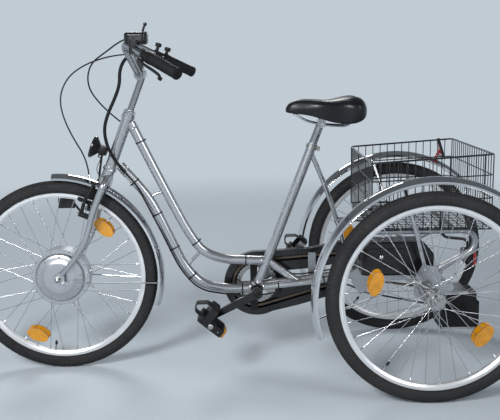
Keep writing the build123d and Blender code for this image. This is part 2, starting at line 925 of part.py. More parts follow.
# stations back from the top of the post: half width, skirt, underside, shoulder and middle heights
saddle_stations = [
    (115, 11, 34, 36, 46, 54),
    (104, 17, 31, 34, 56, 67),
    (87, 22, 29, 34, 61, 75),
    (42, 27, 25, 34, 64, 78),
    (-3, 38, 16, 34, 66, 76),
    (-47, 76, 6, 32, 72, 78),
    (-85, 99, 5, 28, 76, 85),
    (-113, 101, 9, 24, 75, 84),
    (-134, 86, 20, 26, 60, 71),
    (-144, 60, 34, 36, 45, 52),
]
with BuildPart() as saddle:
    for ahead, half, skirt, under, shoulder, middle in saddle_stations:
        with BuildSketch(Plane(origin=on_post(ahead, 0), x_dir=(0, 1, 0), z_dir=(1, 0, 0))):
            with BuildLine():
                ThreePointArc((-half * 0.86, shoulder), (0, middle), (half * 0.86, shoulder))
                Line((half * 0.86, shoulder), (half, (shoulder + skirt) / 2))
                Line((half, (shoulder + skirt) / 2), (half * 0.93, skirt))
                Line((half * 0.93, skirt), (half * 0.7, under))
                Line((half * 0.7, under), (-half * 0.7, under))
                Line((-half * 0.7, under), (-half * 0.93, skirt))
                Line((-half * 0.93, skirt), (-half, (shoulder + skirt) / 2))
                Line((-half, (shoulder + skirt) / 2), (-half * 0.86, shoulder))
            make_face()
    loft()
save(saddle, "saddle")

# ---------------------------------------------------------------- rear axle frame

plate_outline = [
    (218, 312),
    (218, 334),
    (176, 362),
    (118, 360),
    (97, 345),
    (97, 302),
    (146, 285),
    (166, 270),
    (188, 264),
    (200, 285),
]
with BuildPart() as hub_plates:
    for low in (plate_spread, -plate_spread - hub_plate_thickness):
        add(sheet(from_rear_axle(plate_outline), low, hub_plate_thickness))
    gear_axis = Vector(gear_x, 0, gear_z)
    add(rod(gear_axis - across * 80, gear_axis + across * 80, axle_radius + seat_gap), mode=Mode.SUBTRACT)
save(hub_plates, "hub_plates")

with BuildPart() as gear_hub:
    gear_outline = [
        (-chain_line - 1.5, axle_radius),
        (-chain_line - 1.5, gear_sprocket),
        (-chain_line + 1.5, gear_sprocket),
        (-chain_line + 1.5, 18),
        (-34, 18),
        (-34, gear_radius + 8),
        (-30, gear_radius + 8),
        (-30, gear_radius),
        (14, gear_radius),
        (14, gear_radius + 8),
        (18, gear_radius + 8),
        (18, 18),
        (second_chain_line - 1.5, 18),
        (second_chain_line - 1.5, gear_sprocket),
        (second_chain_line + 1.5, gear_sprocket),
        (second_chain_line + 1.5, axle_radius),
    ]
    add(turned(gear_axis, gear_outline))
    outside = plate_spread + hub_plate_thickness + seat_gap
    add(rod(gear_axis - across * (outside + 12), gear_axis + across * (outside + 12), axle_radius))
    for left in (1, -1):
        with BuildSketch(side_plane(left * outside)):
            with Locations((gear_x, gear_z)):
                RegularPolygon(10.5, 6)
        extrude(amount=-left * 8)
save(gear_hub, "gear_hub")

tube_end = bearing_face - plate_thickness
rail_inside = plate_spread + hub_plate_thickness
axle_height = tyre_outer
rail_length = 112


def end_plate(y):
    """Plate that joins a wheel bearing, the strut, the carrier's leg and the rear cross tube."""
    with BuildPart() as piece:
        for corners in (
            [(0, axle_height, 38), (4, 388, 13), (-28, 377, 14), (-44, 380, 9), (30, 350, 9)],
            [(0, axle_height, 30), (-cross_tube_behind, axle_height, 16)],
        ):
            with BuildSketch(side_plane(y)):
                for ahead, z, radius in corners:
                    with Locations((rear_x + ahead, z)):
                        Circle(radius)
                make_hull()
            extrude(amount=-plate_thickness)
    return piece.part


with BuildPart() as axle_frame:
    for left, inner_end in ((1, 65), (-1, 5)):
        start = Vector(-half_base, inner_end if left == 1 else -rail_inside, axle_height)
        end = Vector(-half_base, left * tube_end, axle_height)
        add(rod(start, end, axle_tube_radius))
        low = min(left * rail_inside, left * (rail_inside + rail_width))
        rail_low = (rear_x + 11, low, axle_height - rail_height / 2)
        add(block(rail_low, (rear_x + rail_length, low + rail_width, axle_height + rail_height / 2)))
        add(end_plate(min(left * tube_end, left * bearing_face)))
        hub_end = Vector(-half_base, left * bearing_face, axle_height)
        add(rod(hub_end, hub_end + across * left * bearing_depth, 35))
    cross_ends = [side(cross_tube_x, axle_height, y) for y in (-tube_end, tube_end)]
    add(rod(*cross_ends, 12))
    for left in (1, -1):
        hub_end = Vector(-half_base, left * bearing_face, axle_height)
        face = Vector(-half_base, left * (bearing_face + bearing_depth), axle_height)
        add(rod(face - across * left * 14, face + across * left, 22), mode=Mode.SUBTRACT)
        add(rod(hub_end - across * left * 20, face, shaft_radius + running_gap), mode=Mode.SUBTRACT)
    inside_left = aft(0, axle_height, 73)
    clear_run = [inside_left, aft(0, axle_height, tube_end - 8)]
    add(rod(*clear_run, shaft_radius + moving_gap), mode=Mode.SUBTRACT)
    bearing_run = [aft(0, axle_height, 60), aft(0, axle_height, 80)]
    add(rod(*bearing_run, shaft_radius + running_gap), mode=Mode.SUBTRACT)
    inside_right = aft(0, axle_height, -tube_end + 8)
    add(rod(inside_right, inside_right + across * 30, shaft_radius + moving_gap), mode=Mode.SUBTRACT)
save(axle_frame, "axle_frame")

# ---------------------------------------------------------------- drive

crank_way = Vector(cos(radians(crank_angle)), 0, sin(radians(crank_angle)))
arm_inside = crank_offset - crank_thickness / 2
arm_outside = crank_offset + crank_thickness / 2
with BuildPart() as crankset:
    add(rod(bracket - across * (arm_outside + 2), bracket + across * (arm_outside + 2), spindle_radius))
    for left in (1, -1):
        pedal_eye = bracket + crank_way * left * crank_length
        with BuildSketch(side_plane(left * crank_offset)):
            with Locations((bracket.X, bracket.Z)):
                Circle(13)
            with Locations((pedal_eye.X, pedal_eye.Z)):
                Circle(10.5)
            make_hull()
            with Locations((bracket.X, bracket.Z)):
                Circle(19)
        extrude(amount=crank_thickness / 2, both=True)
        axle_start = pedal_eye + across * left * arm_outside
        add(rod(axle_start, axle_start + across * left * (pedal_width + 8), pedal_axle_radius))
        add(rod(axle_start, axle_start + across * left * 4, 8))
save(crankset, "crankset")

with BuildPart() as chainring:
    with BuildSketch(side_plane(-chain_line)):
        with Locations((bracket.X, bracket.Z)):
            Circle(ring_tip_radius)
            Circle(ring_tip_radius - 16, mode=Mode.SUBTRACT)
            with PolarLocations(ring_tip_radius + 1, ring_teeth):
                Circle(3.9, mode=Mode.SUBTRACT)
            with PolarLocations(ring_tip_radius / 2 - 4, 5):
                Rectangle(ring_tip_radius - 16, 14)
            Circle(24)
            Circle(spindle_radius + weld_gap, mode=Mode.SUBTRACT)
    extrude(amount=1.5, both=True)
    add(rod(bracket - across * (arm_inside - seat_gap), bracket - across * (chain_line - 1), 20))
    add(rod(bracket - across * 90, bracket, spindle_radius + weld_gap), mode=Mode.SUBTRACT)
save(chainring, "chainring")

pedal_tilt = 40
toe_clip_line = [(42, 0), (66, 2), (80, 22), (52, 46), (16, 51)]  # ahead of the axle, and above it
for side_name, left in (("left", 1), ("right", -1)):
    pedal_eye = bracket + crank_way * left * crank_length
    inner_face = arm_outside + moving_gap + strap_thickness + seat_gap
    pedal_middle = pedal_eye + across * left * (inner_face + pedal_width / 2)
    forward = Vector(cos(radians(pedal_tilt)), 0, sin(radians(pedal_tilt)))
    pedal_plane = Plane(origin=pedal_middle, x_dir=forward, z_dir=forward.cross(across))
    clip_path = [pedal_plane.from_local_coords(Vector(x, 0, z)) for x, z in toe_clip_line]
    with BuildPart() as toe_clip:
        with BuildLine():
            FilletPolyline(*clip_path, radius=10)
        with BuildSketch(Plane(origin=clip_path[0], x_dir=across, z_dir=clip_path[1] - clip_path[0])):
            Rectangle(38, strap_thickness)
        sweep()
    with BuildPart() as pedal:
        add(toe_clip.part)
        with BuildSketch(pedal_plane):
            RectangleRounded(pedal_length, pedal_width, 8)
            with Locations((-26, 0), (26, 0)):
                RectangleRounded(28, pedal_width - 24, 4, mode=Mode.SUBTRACT)
        extrude(amount=pedal_thickness / 2, both=True)
        bore = [pedal_middle - across * pedal_width, pedal_middle + across * pedal_width]
        add(rod(*bore, pedal_axle_radius + running_gap), mode=Mode.SUBTRACT)
    strap_side = pedal_width / 2 + seat_gap + strap_thickness / 2
    strap_path = [
        pedal_plane.from_local_coords(Vector(strap_ahead, y, z))
        for y, z in (
            (strap_side, -6),
            (strap_side, strap_height),
            (-strap_side, strap_height),
            (-strap_side, -6),
        )
    ]
    with BuildPart() as strap:
        with BuildLine():
            FilletPolyline(*strap_path, radius=26)
        with BuildSketch(Plane(origin=strap_path[0], x_dir=pedal_plane.x_dir, z_dir=pedal_plane.z_dir)):
            Rectangle(strap_width, strap_thickness)
        sweep()
    with BuildPart() as pedal_and_strap:
        add(pedal.part)
        add(strap.part)
    save(pedal_and_strap, f"{side_name}_pedal")


def chain_loop(first, first_radius, second, second_radius, y):
    """Closed chain around two sprockets, as a belt of the chain's height."""
    with BuildPart() as piece:
        with BuildSketch(side_plane(y)):
            with Locations(first):
                Circle(first_radius + chain_height / 2)
            with Locations(second):
                Circle(second_radius + chain_height / 2)
            make_hull()
            with BuildSketch(mode=Mode.SUBTRACT):
                with Locations(first):
                    Circle(first_radius - chain_height / 2)
                with Locations(second):
                    Circle(second_radius - chain_height / 2)
                make_hull()
        extrude(amount=chain_width / 2, both=True)
    return piece.part


chain_on_ring = ring_tip_radius + chain_gap + chain_height / 2
chain_on_gear = gear_sprocket + seat_gap + chain_height / 2
chain_on_axle = gear_sprocket + chain_gap + chain_height / 2
with BuildPart() as chains:
    add(chain_loop((bracket_x, bracket_z), chain_on_ring, (gear_x, gear_z), chain_on_gear, -chain_line))
    add(chain_loop((gear_x, gear_z), chain_on_gear, (rear_x, axle_height), chain_on_axle, second_chain_line))
save(chains, "chains")

middle_of_guard = (bracket_x + guard_rear) / 2 - 20
guard_top = [
    (bracket_x - 7, bracket_z + guard_radius),
    (middle_of_guard, 398),
    (guard_rear, 428),
    (guard_rear, 352),
    (middle_of_guard, 328),
    (bracket_x - 7, 315),
]
guard_bottom = [
    (bracket_x + 4, bracket_z - guard_radius),
    (middle_of_guard + 40, 197),
    (guard_rear + 20, 244),
    (guard_rear + 20, 298),
    (middle_of_guard + 40, 266),
    (bracket_x - 32, 232),
]
with BuildPart() as chain_guard:
    with BuildSketch(side_plane(-chain_line)):
        with Locations((bracket_x, bracket_z)):
            Circle(guard_radius)
        Polygon(*guard_top, align=None)
        Polygon(*guard_bottom, align=None)
        with Locations((bracket_x, bracket_z)):
            Circle(guard_opening, mode=Mode.SUBTRACT)
    extrude(amount=guard_width / 2, both=True)
    with BuildSketch(side_plane(-chain_line)):
        with Locations((bracket_x, bracket_z)):
            Circle(guard_radius - 12)
        with Locations((gear_x, gear_z)):
            Circle(chain_on_gear + 14)
        make_hull()
    extrude(amount=guard_width / 2 - guard_wall, both=True, mode=Mode.SUBTRACT)
    # the side towards the frame is open along the chain, so the chain and chainring show
    with BuildSketch(side_plane(-chain_line + guard_width / 2 - guard_wall / 2)):
        with Locations((bracket_x, bracket_z)):
            Circle(chain_on_ring + guard_slot / 2)
        with Locations((gear_x, gear_z)):
            Circle(chain_on_gear + guard_slot / 2)
        make_hull()
        with BuildSketch(mode=Mode.SUBTRACT):
            with Locations((bracket_x, bracket_z)):
                Circle(chain_on_ring - guard_slot / 2)
            with Locations((gear_x, gear_z)):
                Circle(chain_on_gear - guard_slot / 2)
            make_hull()
        with Locations((bracket_x, bracket_z)):
            Circle(chain_on_ring + guard_slot / 2 - 1)
        with Locations((guard_rear - 60, axle_height)):
            Rectangle(200, 2 * guard_radius, mode=Mode.SUBTRACT)
    extrude(amount=guard_wall, both=True, mode=Mode.SUBTRACT)
with BuildPart() as guard_brackets:
    strap_right = -chain_line + guard_width / 2 + seat_gap
    add(block((bracket_x - 2, strap_right, 180), (bracket_x + 22, strap_right + 2.4, 372)))
    add(block((bracket_x - 204, strap_right, 300), (bracket_x - 178, strap_right + 1.3, 384)))
    add(rod(bracket - across * 40, bracket, bracket_radius + weld_gap), mode=Mode.SUBTRACT)
with BuildPart() as guard_on_brackets:
    add(chain_guard.part)
    add(guard_brackets.part)
save(guard_on_brackets, "chain_guard")

# ---------------------------------------------------------------- carrier, basket, battery and controller

carrier_points = [
    aft(178, carrier_height),
    aft(-271, carrier_height),
    aft(-28, 375),
]
with BuildPart() as carrier:
    for left in (1, -1):
        loop = [p + across * left * carrier_spread for p in carrier_points]
        add(tube(loop, [39], carrier_radius))
    for ahead in (front_bar_ahead, -rear_bar_behind):
        bar_ends = [aft(ahead, carrier_height, y) for y in (-carrier_spread, carrier_spread)]
        add(rod(*bar_ends, cross_bar_radius))
    spine_front = side(strut_points[2].X + 18, carrier_height)
    add(rod(aft(front_bar_ahead, carrier_height), spine_front, cross_bar_radius))
    add(tube(strut_points, smooth_bends(strut_points), strut_radius + weld_gap), mode=Mode.SUBTRACT)
save(carrier, "carrier")

basket_floor = carrier_height + carrier_radius + seat_gap
basket_middle = (basket_front + basket_rear) / 2


def wire_wall(plane, length, front_height, rear_height):
    """Flat grid of wires between a bottom wire, two rails and a top rim."""
    columns = round(length / wire_pitch)
    tallest = max(front_height, rear_height)
    outline = [(-length / 2, 0), (length / 2, 0), (length / 2, front_height), (-length / 2, rear_height)]
    with BuildPart() as piece:
        with BuildSketch(plane):
            with Locations((0, tallest / 2)):
                with GridLocations(length / columns, 1, columns + 1, 1):
                    Rectangle(wire, tallest)
            for height in (wire / 2, 0.42 * tallest, 0.72 * tallest):
                with Locations((0, height)):
                    Rectangle(length, wire)
            with BuildSketch(mode=Mode.INTERSECT):
                Polygon(*outline, align=None)
            slope = degrees(atan2(front_height - rear_height, length))
            with Locations((0, (front_height + rear_height) / 2 - rim_wire / 2)):
                Rectangle(length, rim_wire, rotation=slope)
        extrude(amount=wire / 2, both=True)
    return piece.part


with BuildPart() as basket:
    for y in (-basket_half_width, basket_half_width):
        wall = Plane(origin=(basket_middle, y, basket_floor), x_dir=(1, 0, 0), z_dir=(0, -1, 0))
        add(wire_wall(wall, basket_length, basket_front_height, basket_rear_height))
    for x, height in ((basket_front, basket_front_height), (basket_rear, basket_rear_height)):
        wall = Plane(origin=(x, 0, basket_floor), x_dir=(0, 1, 0), z_dir=(1, 0, 0))
        add(wire_wall(wall, 2 * basket_half_width, height, height))
    with BuildSketch(Plane.XY.offset(basket_floor)):
        with Locations((basket_middle, 0)):
            with GridLocations(basket_length / 12, 1, 13, 1):
                Rectangle(wire, 2 * basket_half_width)
            with GridLocations(1, basket_half_width / 9, 1, 19):
                Rectangle(basket_length, wire)
    extrude(amount=wire)
save(basket, "basket")

tray_bottom = axle_height + axle_tube_radius + seat_gap
with BuildPart() as battery_tray:
    tray_low = (battery_rear + 6, battery_right, tray_bottom)
    tray_high = (battery_front - 6, battery_right + battery_width, tray_bottom + tray_thickness)
    add(block(tray_low, tray_high))
    rail_top = axle_height + rail_height / 2 + seat_gap
    leg_front = rear_x + rail_length - 2
    leg_top = (leg_front, battery_right + 12, tray_bottom)
    add(block((leg_front - 14, rail_inside, rail_top), leg_top))
save(battery_tray, "battery_tray")

battery_bottom = tray_bottom + tray_thickness + seat_gap
with BuildPart() as battery:
    with BuildSketch(side_plane(battery_right)):
        Polygon(
            (battery_rear, battery_bottom),
            (battery_front, battery_bottom),
            (battery_front, battery_bottom + battery_height - 24),
            (battery_front - 22, battery_bottom + battery_height),
            (battery_rear + 34, battery_bottom + battery_height),
            (battery_rear, battery_bottom + battery_height - 40),
            align=None,
        )
    extrude(amount=-battery_width)
    fillet(battery.edges().filter_by(Axis.Y).group_by(Axis.Z)[-1], 14)
    fillet(battery.faces().sort_by(Axis.Y)[0].edges(), 5)
    fillet(battery.faces().sort_by(Axis.Y)[-1].edges(), 5)
    key = Vector(battery_front - 60, battery_right + battery_width - 1, battery_bottom + 62)
    add(rod(key, key + across * 12, 6))
save(battery, "battery")

with BuildPart() as controller_box:
    add(sheet(from_rear_axle([(-56, 182), (-56, 306), (-139, 306), (-176, 272), (-176, 182)]), 96, 104))
    for z in (204, 228, 252):
        add(block((rear_x - 194, 100, z), (rear_x - 44, 196, z + 6)), mode=Mode.SUBTRACT)
    add(block((rear_x - 169, 104, 186), (rear_x - 63, 192, 300)))
    hanger = cross_tube_x
    add(block((hanger - 14, 120, 300), (hanger + 3, 180, axle_height - 12 - seat_gap + 6)))
    add(cope(side(hanger, axle_height, 0), side(hanger, axle_height, 220), 12), mode=Mode.SUBTRACT)
save(controller_box, "controller_box")

# ---------------------------------------------------------------- mudguards and lights at the rear

with BuildPart() as rear_mudguards:
    for centre in (rear_left_hub, rear_right_hub):
        add(arched(centre, rear_mudguard_radius, mudguard_width, -18.6, 142, mudguard_crown, mudguard_lip))
save(rear_mudguards, "rear_mudguards")

stay_reach = rear_mudguard_radius - mudguard_crown - mudguard_lip / 2


def rear_rim_point(angle, y):
    """A point level with the lips of a rear mudguard."""
    turn = radians(angle)
    return aft(stay_reach * cos(turn), axle_height + stay_reach * sin(turn), y)


with BuildPart() as mudguard_stays:
    for left in (1, -1):
        edge = half_track - mudguard_width / 2 - stay_wire - seat_gap
        eye_y = bearing_face + stay_wire + seat_gap
        for angle, eye_ahead, eye_z in ((-11, 30, 350), (140, -44, 380)):
            add(rod(aft(eye_ahead, eye_z, left * eye_y), rear_rim_point(angle, left * edge), stay_wire))
        add(rod(aft(4, 388, left * (eye_y + 4)), rear_rim_point(75, left * (edge - 3.5)), 6))
save(mudguard_stays, "mudguard_stays")

reflector_lift = 34
with BuildPart() as rear_reflector:
    spot_angle = radians(114)
    outward_way = Vector(cos(spot_angle), 0, sin(spot_angle))
    spot = rear_right_hub + outward_way * (rear_mudguard_radius + reflector_lift)
    with BuildSketch(Plane(origin=spot, x_dir=(0, 1, 0), z_dir=(-1, 0, 0.2))):
        RegularPolygon(44, 3, rotation=-90)
    extrude(amount=8)
    foot = rear_right_hub + outward_way * (rear_mudguard_radius + seat_gap)
    add(rod(foot, spot, 5))
save(rear_reflector, "rear_reflector")

with BuildPart() as tail_lamp:
    lamp = aft(-190, 372)
    with Locations(lamp):
        Box(34, 84, 46)
    fillet(tail_lamp.edges(), 8)
with BuildPart() as tail_bracket:
    bar_underside = carrier_height - cross_bar_radius - seat_gap
    lamp_top = 395 + seat_gap
    arm = [
        aft(-rear_bar_behind, bar_underside),
        aft(-rear_bar_behind - 4, 440),
        aft(-186, 430),
        aft(-190, lamp_top),
    ]
    add(tube(arm, smooth_bends(arm), 5))
with BuildPart() as lamp_on_bracket:
    add(tail_lamp.part)
    add(tail_bracket.part)
save(lamp_on_bracket, "tail_lamp")

# ---------------------------------------------------------------- cables that cross the steering joint

cable_radius = 2.5
gear_seat = tube_radius + cable_radius + seat_gap
gear_cable_route = [
    (349, 92, 1102),
    (398, 82, 1068),
    (444, 62, 1040),
    (466, 44, 998),
    (466, 22, 952),
    (441, 0, 909),
    (411, -18, 874),
    (380, -26, 845),
    (350, -25, 824),
    (326, -gear_seat, 806),
    (311.5, -gear_seat, 780),
]
with BuildPart() as gear_cable_loop:
    add(cable(gear_cable_route, cable_radius))
save(gear_cable_loop, "gear_cable_loop")

gear_line = [side(311.5, 780)] + upper_points[1:6] + [side(-54, 368.4)]
gear_line = [p - across * gear_seat for p in gear_line]
gear_line += [side(-124, 336, -21), side(-196, 308, -stay_spread), side(-340, 328, -stay_spread)]
gear_line += [side(block_front + seat_gap, 328.6, -stay_spread)]
with BuildPart() as gear_cable:
    add(tube(gear_line, smooth_bends(gear_line), cable_radius))
save(gear_cable, "gear_cable")

conduit_radius = 5.5
power_radius = 2.8
power_seat = tube_radius + power_radius + seat_gap
conduit_end = mid_frame(0.8943, 678.6, tube_radius + conduit_radius + seat_gap)
conduit_route = [
    fore(-253, 1046, 60),
    fore(-236, 1010, 57),
    fore(-235, 968, 55),
    fore(-216, 922, 52),
    fore(-191, 874, 50),
    fore(-176, 826, 48),
    fore(-181, 778, 45),
    fore(-196, 738, 39),
    fore(-215, 704, 27),
    conduit_end,
]
with BuildPart() as wiring_conduit:
    add(cable(conduit_route, conduit_radius))
save(wiring_conduit, "wiring_conduit")

power_route = [
    conduit_end,
    mid_frame(0.8194, 636.1, power_seat),
    mid_frame(0.7637, 580.5, 18.5),
    mid_frame(0.6603, 476, 15.5),
    mid_frame(0.5387, 345, 15),
    mid_frame(0.4076, 271.5, 15),
    mid_frame(0.2038, 254.5, 15),
    mid_frame(0.0166, 247, 18),
    aft(456, 263, 24),
    aft(296, 285, 24),
    aft(224, 290, 27),
    aft(168, 262, 44),
    aft(96, 258, 80),
    aft(16, 250, 112),
    aft(-53.5, 242, 130),
]
with BuildPart() as power_cable:
    add(tube(power_route, smooth_bends(power_route), power_radius))
save(power_cable, "power_cable")
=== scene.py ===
"""Looks for the electric tricycle: materials, soft goods, trim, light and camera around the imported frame."""
import math
from math import cos, pi, radians, sin

import bmesh
import bpy
from mathutils import Matrix, Vector


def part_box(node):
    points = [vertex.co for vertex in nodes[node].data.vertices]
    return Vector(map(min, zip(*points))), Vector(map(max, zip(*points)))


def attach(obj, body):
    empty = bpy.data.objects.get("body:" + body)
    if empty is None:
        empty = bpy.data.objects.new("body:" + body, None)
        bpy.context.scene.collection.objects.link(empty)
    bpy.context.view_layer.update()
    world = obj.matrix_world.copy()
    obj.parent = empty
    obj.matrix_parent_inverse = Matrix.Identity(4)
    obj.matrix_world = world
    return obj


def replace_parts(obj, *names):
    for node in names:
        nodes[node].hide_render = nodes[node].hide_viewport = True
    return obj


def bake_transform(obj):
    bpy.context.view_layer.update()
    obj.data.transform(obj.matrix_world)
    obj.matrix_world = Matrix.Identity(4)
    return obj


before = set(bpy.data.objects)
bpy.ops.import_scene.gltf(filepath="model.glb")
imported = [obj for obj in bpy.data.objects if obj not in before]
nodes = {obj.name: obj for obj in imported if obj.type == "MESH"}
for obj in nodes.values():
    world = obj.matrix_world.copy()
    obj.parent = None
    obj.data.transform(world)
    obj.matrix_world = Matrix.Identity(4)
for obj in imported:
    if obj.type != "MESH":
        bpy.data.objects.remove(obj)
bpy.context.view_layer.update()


def mm(x, y, z):
    """A point given in millimetres."""
    return Vector((x, y, z)) * 0.001


def line_of(*corners):
    return [mm(*corner) for corner in corners]


# places shared with the solids, in metres
HUBS = {
    "front_wheel": mm(596, 0, 326.5),
    "rear_wheel_left": mm(-596, 341, 326.5),
    "rear_wheel_right": mm(-596, -341, 326.5),
}
AHEAD, ACROSS, UP = Vector((1, 0, 0)), Vector((0, 1, 0)), Vector((0, 0, 1))
STEER_UP = Vector((-0.371391, 0, 0.928477))
STEER_FORWARD = Vector((0.928477, 0, 0.371391))
STEER_FOOT = HUBS["front_wheel"] - STEER_FORWARD * 0.0325
BRACKET = mm(-68, 0, 276)
SEAT_UP = Vector((-sin(radians(21.5)), 0, cos(radians(21.5))))
SEAT_TOP = BRACKET + SEAT_UP * 0.526
GRIP_END = {1: mm(152, 300, 1000), -1: mm(152, -300, 1000)}
GRIP_WAY = {s: Vector((-0.68, 0.64 * s, -0.36)).normalized() for s in (1, -1)}


def steer_point(forward, up, left=0):
    """A point given in millimetres from the front hub's height on the steering axis."""
    return STEER_FOOT + (STEER_FORWARD * forward + STEER_UP * up + Vector((0, left, 0))) * 0.001


def placed(name, data):
    """A new object in the scene."""
    made = bpy.data.objects.new(name, data)
    bpy.context.scene.collection.objects.link(made)
    return made


def fill(node, **values):
    """Set a node's inputs by name, with underscores for spaces."""
    for key, value in values.items():
        node.inputs[key.replace("_", " ")].default_value = value


# -------- camera, light and floor

CAMERA_PLACE = (-0.055, 2.612, 1.0259)
CAMERA_TURN = (0.0024, 0.183, -0.0163)  # yaw, pitch and roll in radians
FOCAL_PIXELS, PICTURE_WIDTH, SENSOR = 790, 500, 36


def set_camera():
    yaw, pitch, roll = CAMERA_TURN
    level = Vector((sin(yaw), -cos(yaw), 0))
    right = Vector((-cos(yaw), -sin(yaw), 0))
    view = level * cos(pitch) - UP * sin(pitch)
    tilt = UP * cos(pitch) + level * sin(pitch)
    side = right * cos(roll) + tilt * sin(roll)
    top = tilt * cos(roll) - right * sin(roll)
    data = bpy.data.cameras.new("camera")
    data.sensor_width = SENSOR
    data.lens = FOCAL_PIXELS / PICTURE_WIDTH * SENSOR
    camera = placed("camera", data)
    rows = [(side[i], top[i], -view[i], CAMERA_PLACE[i]) for i in range(3)]
    camera.matrix_world = Matrix((*rows, (0, 0, 0, 1)))
    bpy.context.scene.camera = camera


def add_lamp(name, place, aim, size, power):
    data = bpy.data.lights.new(name, "AREA")
    data.shape = "DISK"
    data.size = size
    data.energy = power
    lamp = placed(name, data)
    lamp.location = place
    lamp.rotation_euler = (Vector(aim) - Vector(place)).to_track_quat("-Z", "Y").to_euler()


HORIZON, CEILING, FLOOR = (0.53, 0.60, 0.66, 1), (0.13, 0.145, 0.16, 1), (0.56, 0.62, 0.67, 1)
DIFFUSE_LIGHT = 0.75
CEILING_START, CEILING_END = 0.12, 0.55  # upward share of the view's direction
FADE_START, FADE_END = 1.4, 5.0  # metres from the middle
FLOOR_RADIUS, FLOOR_DROP = 40, 0.0005


def ranged(tree, value, start, end, low=0.0, high=1.0, smooth=False):
    """Map a value from one range onto another."""
    node = tree.nodes.new("ShaderNodeMapRange")
    if smooth:
        node.interpolation_type = "SMOOTHSTEP"
    fill(node, From_Min=start, From_Max=end, To_Min=low, To_Max=high)
    tree.links.new(value, node.inputs["Value"])
    return node.outputs["Result"]


def set_world():
    """Pale backdrop and darker ceiling, which metal shows too; a dimmer even light falls on the object."""
    world = bpy.data.worlds.new("studio")
    bpy.context.scene.world = world
    world.use_nodes = True
    tree = world.node_tree
    background = tree.nodes["Background"]
    path = tree.nodes.new("ShaderNodeLightPath")
    shown = path.outputs["Is Camera Ray"]
    for ray in ("Is Glossy Ray", "Is Transmission Ray"):
        either = tree.nodes.new("ShaderNodeMath")
        either.operation = "MAXIMUM"
        tree.links.new(shown, either.inputs[0])
        tree.links.new(path.outputs[ray], either.inputs[1])
        shown = either.outputs[0]
    tree.links.new(ranged(tree, shown, 0, 1, DIFFUSE_LIGHT, 1), background.inputs["Strength"])
    place = tree.nodes.new("ShaderNodeTexCoord")
    split = tree.nodes.new("ShaderNodeSeparateXYZ")
    tree.links.new(place.outputs["Generated"], split.inputs[0])
    colour = tree.nodes.new("ShaderNodeMix")
    colour.data_type = "RGBA"
    fill(colour, A=HORIZON, B=CEILING)
    height = ranged(tree, split.outputs["Z"], CEILING_START, CEILING_END, smooth=True)
    tree.links.new(height, colour.inputs["Factor"])
    tree.links.new(colour.outputs["Result"], background.inputs["Color"])


def make_floor():
    """Pale floor that fades into the backdrop's colour further out."""
    mesh = bpy.data.meshes.new("floor")
    bm = bmesh.new()
    bmesh.ops.create_circle(bm, cap_ends=True, radius=FLOOR_RADIUS, segments=96)
    bm.to_mesh(mesh)
    bm.free()
    floor = placed("floor", mesh)
    floor.location.z = -FLOOR_DROP
    material = bpy.data.materials.new("floor")
    material.use_nodes = True
    tree = material.node_tree
    shader = tree.nodes["Principled BSDF"]
    fill(shader, Base_Color=FLOOR, Roughness=0.85, Specular_IOR_Level=0.1)
    glow = tree.nodes.new("ShaderNodeEmission")
    fill(glow, Color=HORIZON, Strength=1.0)
    place = tree.nodes.new("ShaderNodeNewGeometry")
    distance = tree.nodes.new("ShaderNodeVectorMath")
    distance.operation = "LENGTH"
    tree.links.new(place.outputs["Position"], distance.inputs[0])
    mix = tree.nodes.new("ShaderNodeMixShader")
    fade = ranged(tree, distance.outputs["Value"], FADE_START, FADE_END, smooth=True)
    for value, socket in zip((fade, shader.outputs[0], glow.outputs[0]), mix.inputs):
        tree.links.new(value, socket)
    tree.links.new(mix.outputs[0], tree.nodes["Material Output"].inputs["Surface"])
    mesh.materials.append(material)


bpy.context.scene.view_settings.view_transform = "Standard"
set_camera()
set_world()
make_floor()
add_lamp("key", (1.5, 2.9, 2.5), (0, 0, 0.4), 1.0, 105)
add_lamp("front", (0.8, 3.5, 1.7), (0, 0, 0.8), 0.5, 16)
add_lamp("fill", (-2.4, 2.4, 2.0), (-0.3, 0, 0.4), 1.6, 30)
add_lamp("back", (0.3, -2.6, 2.8), (0, 0, 0.5), 1.4, 45)

# -------- materials


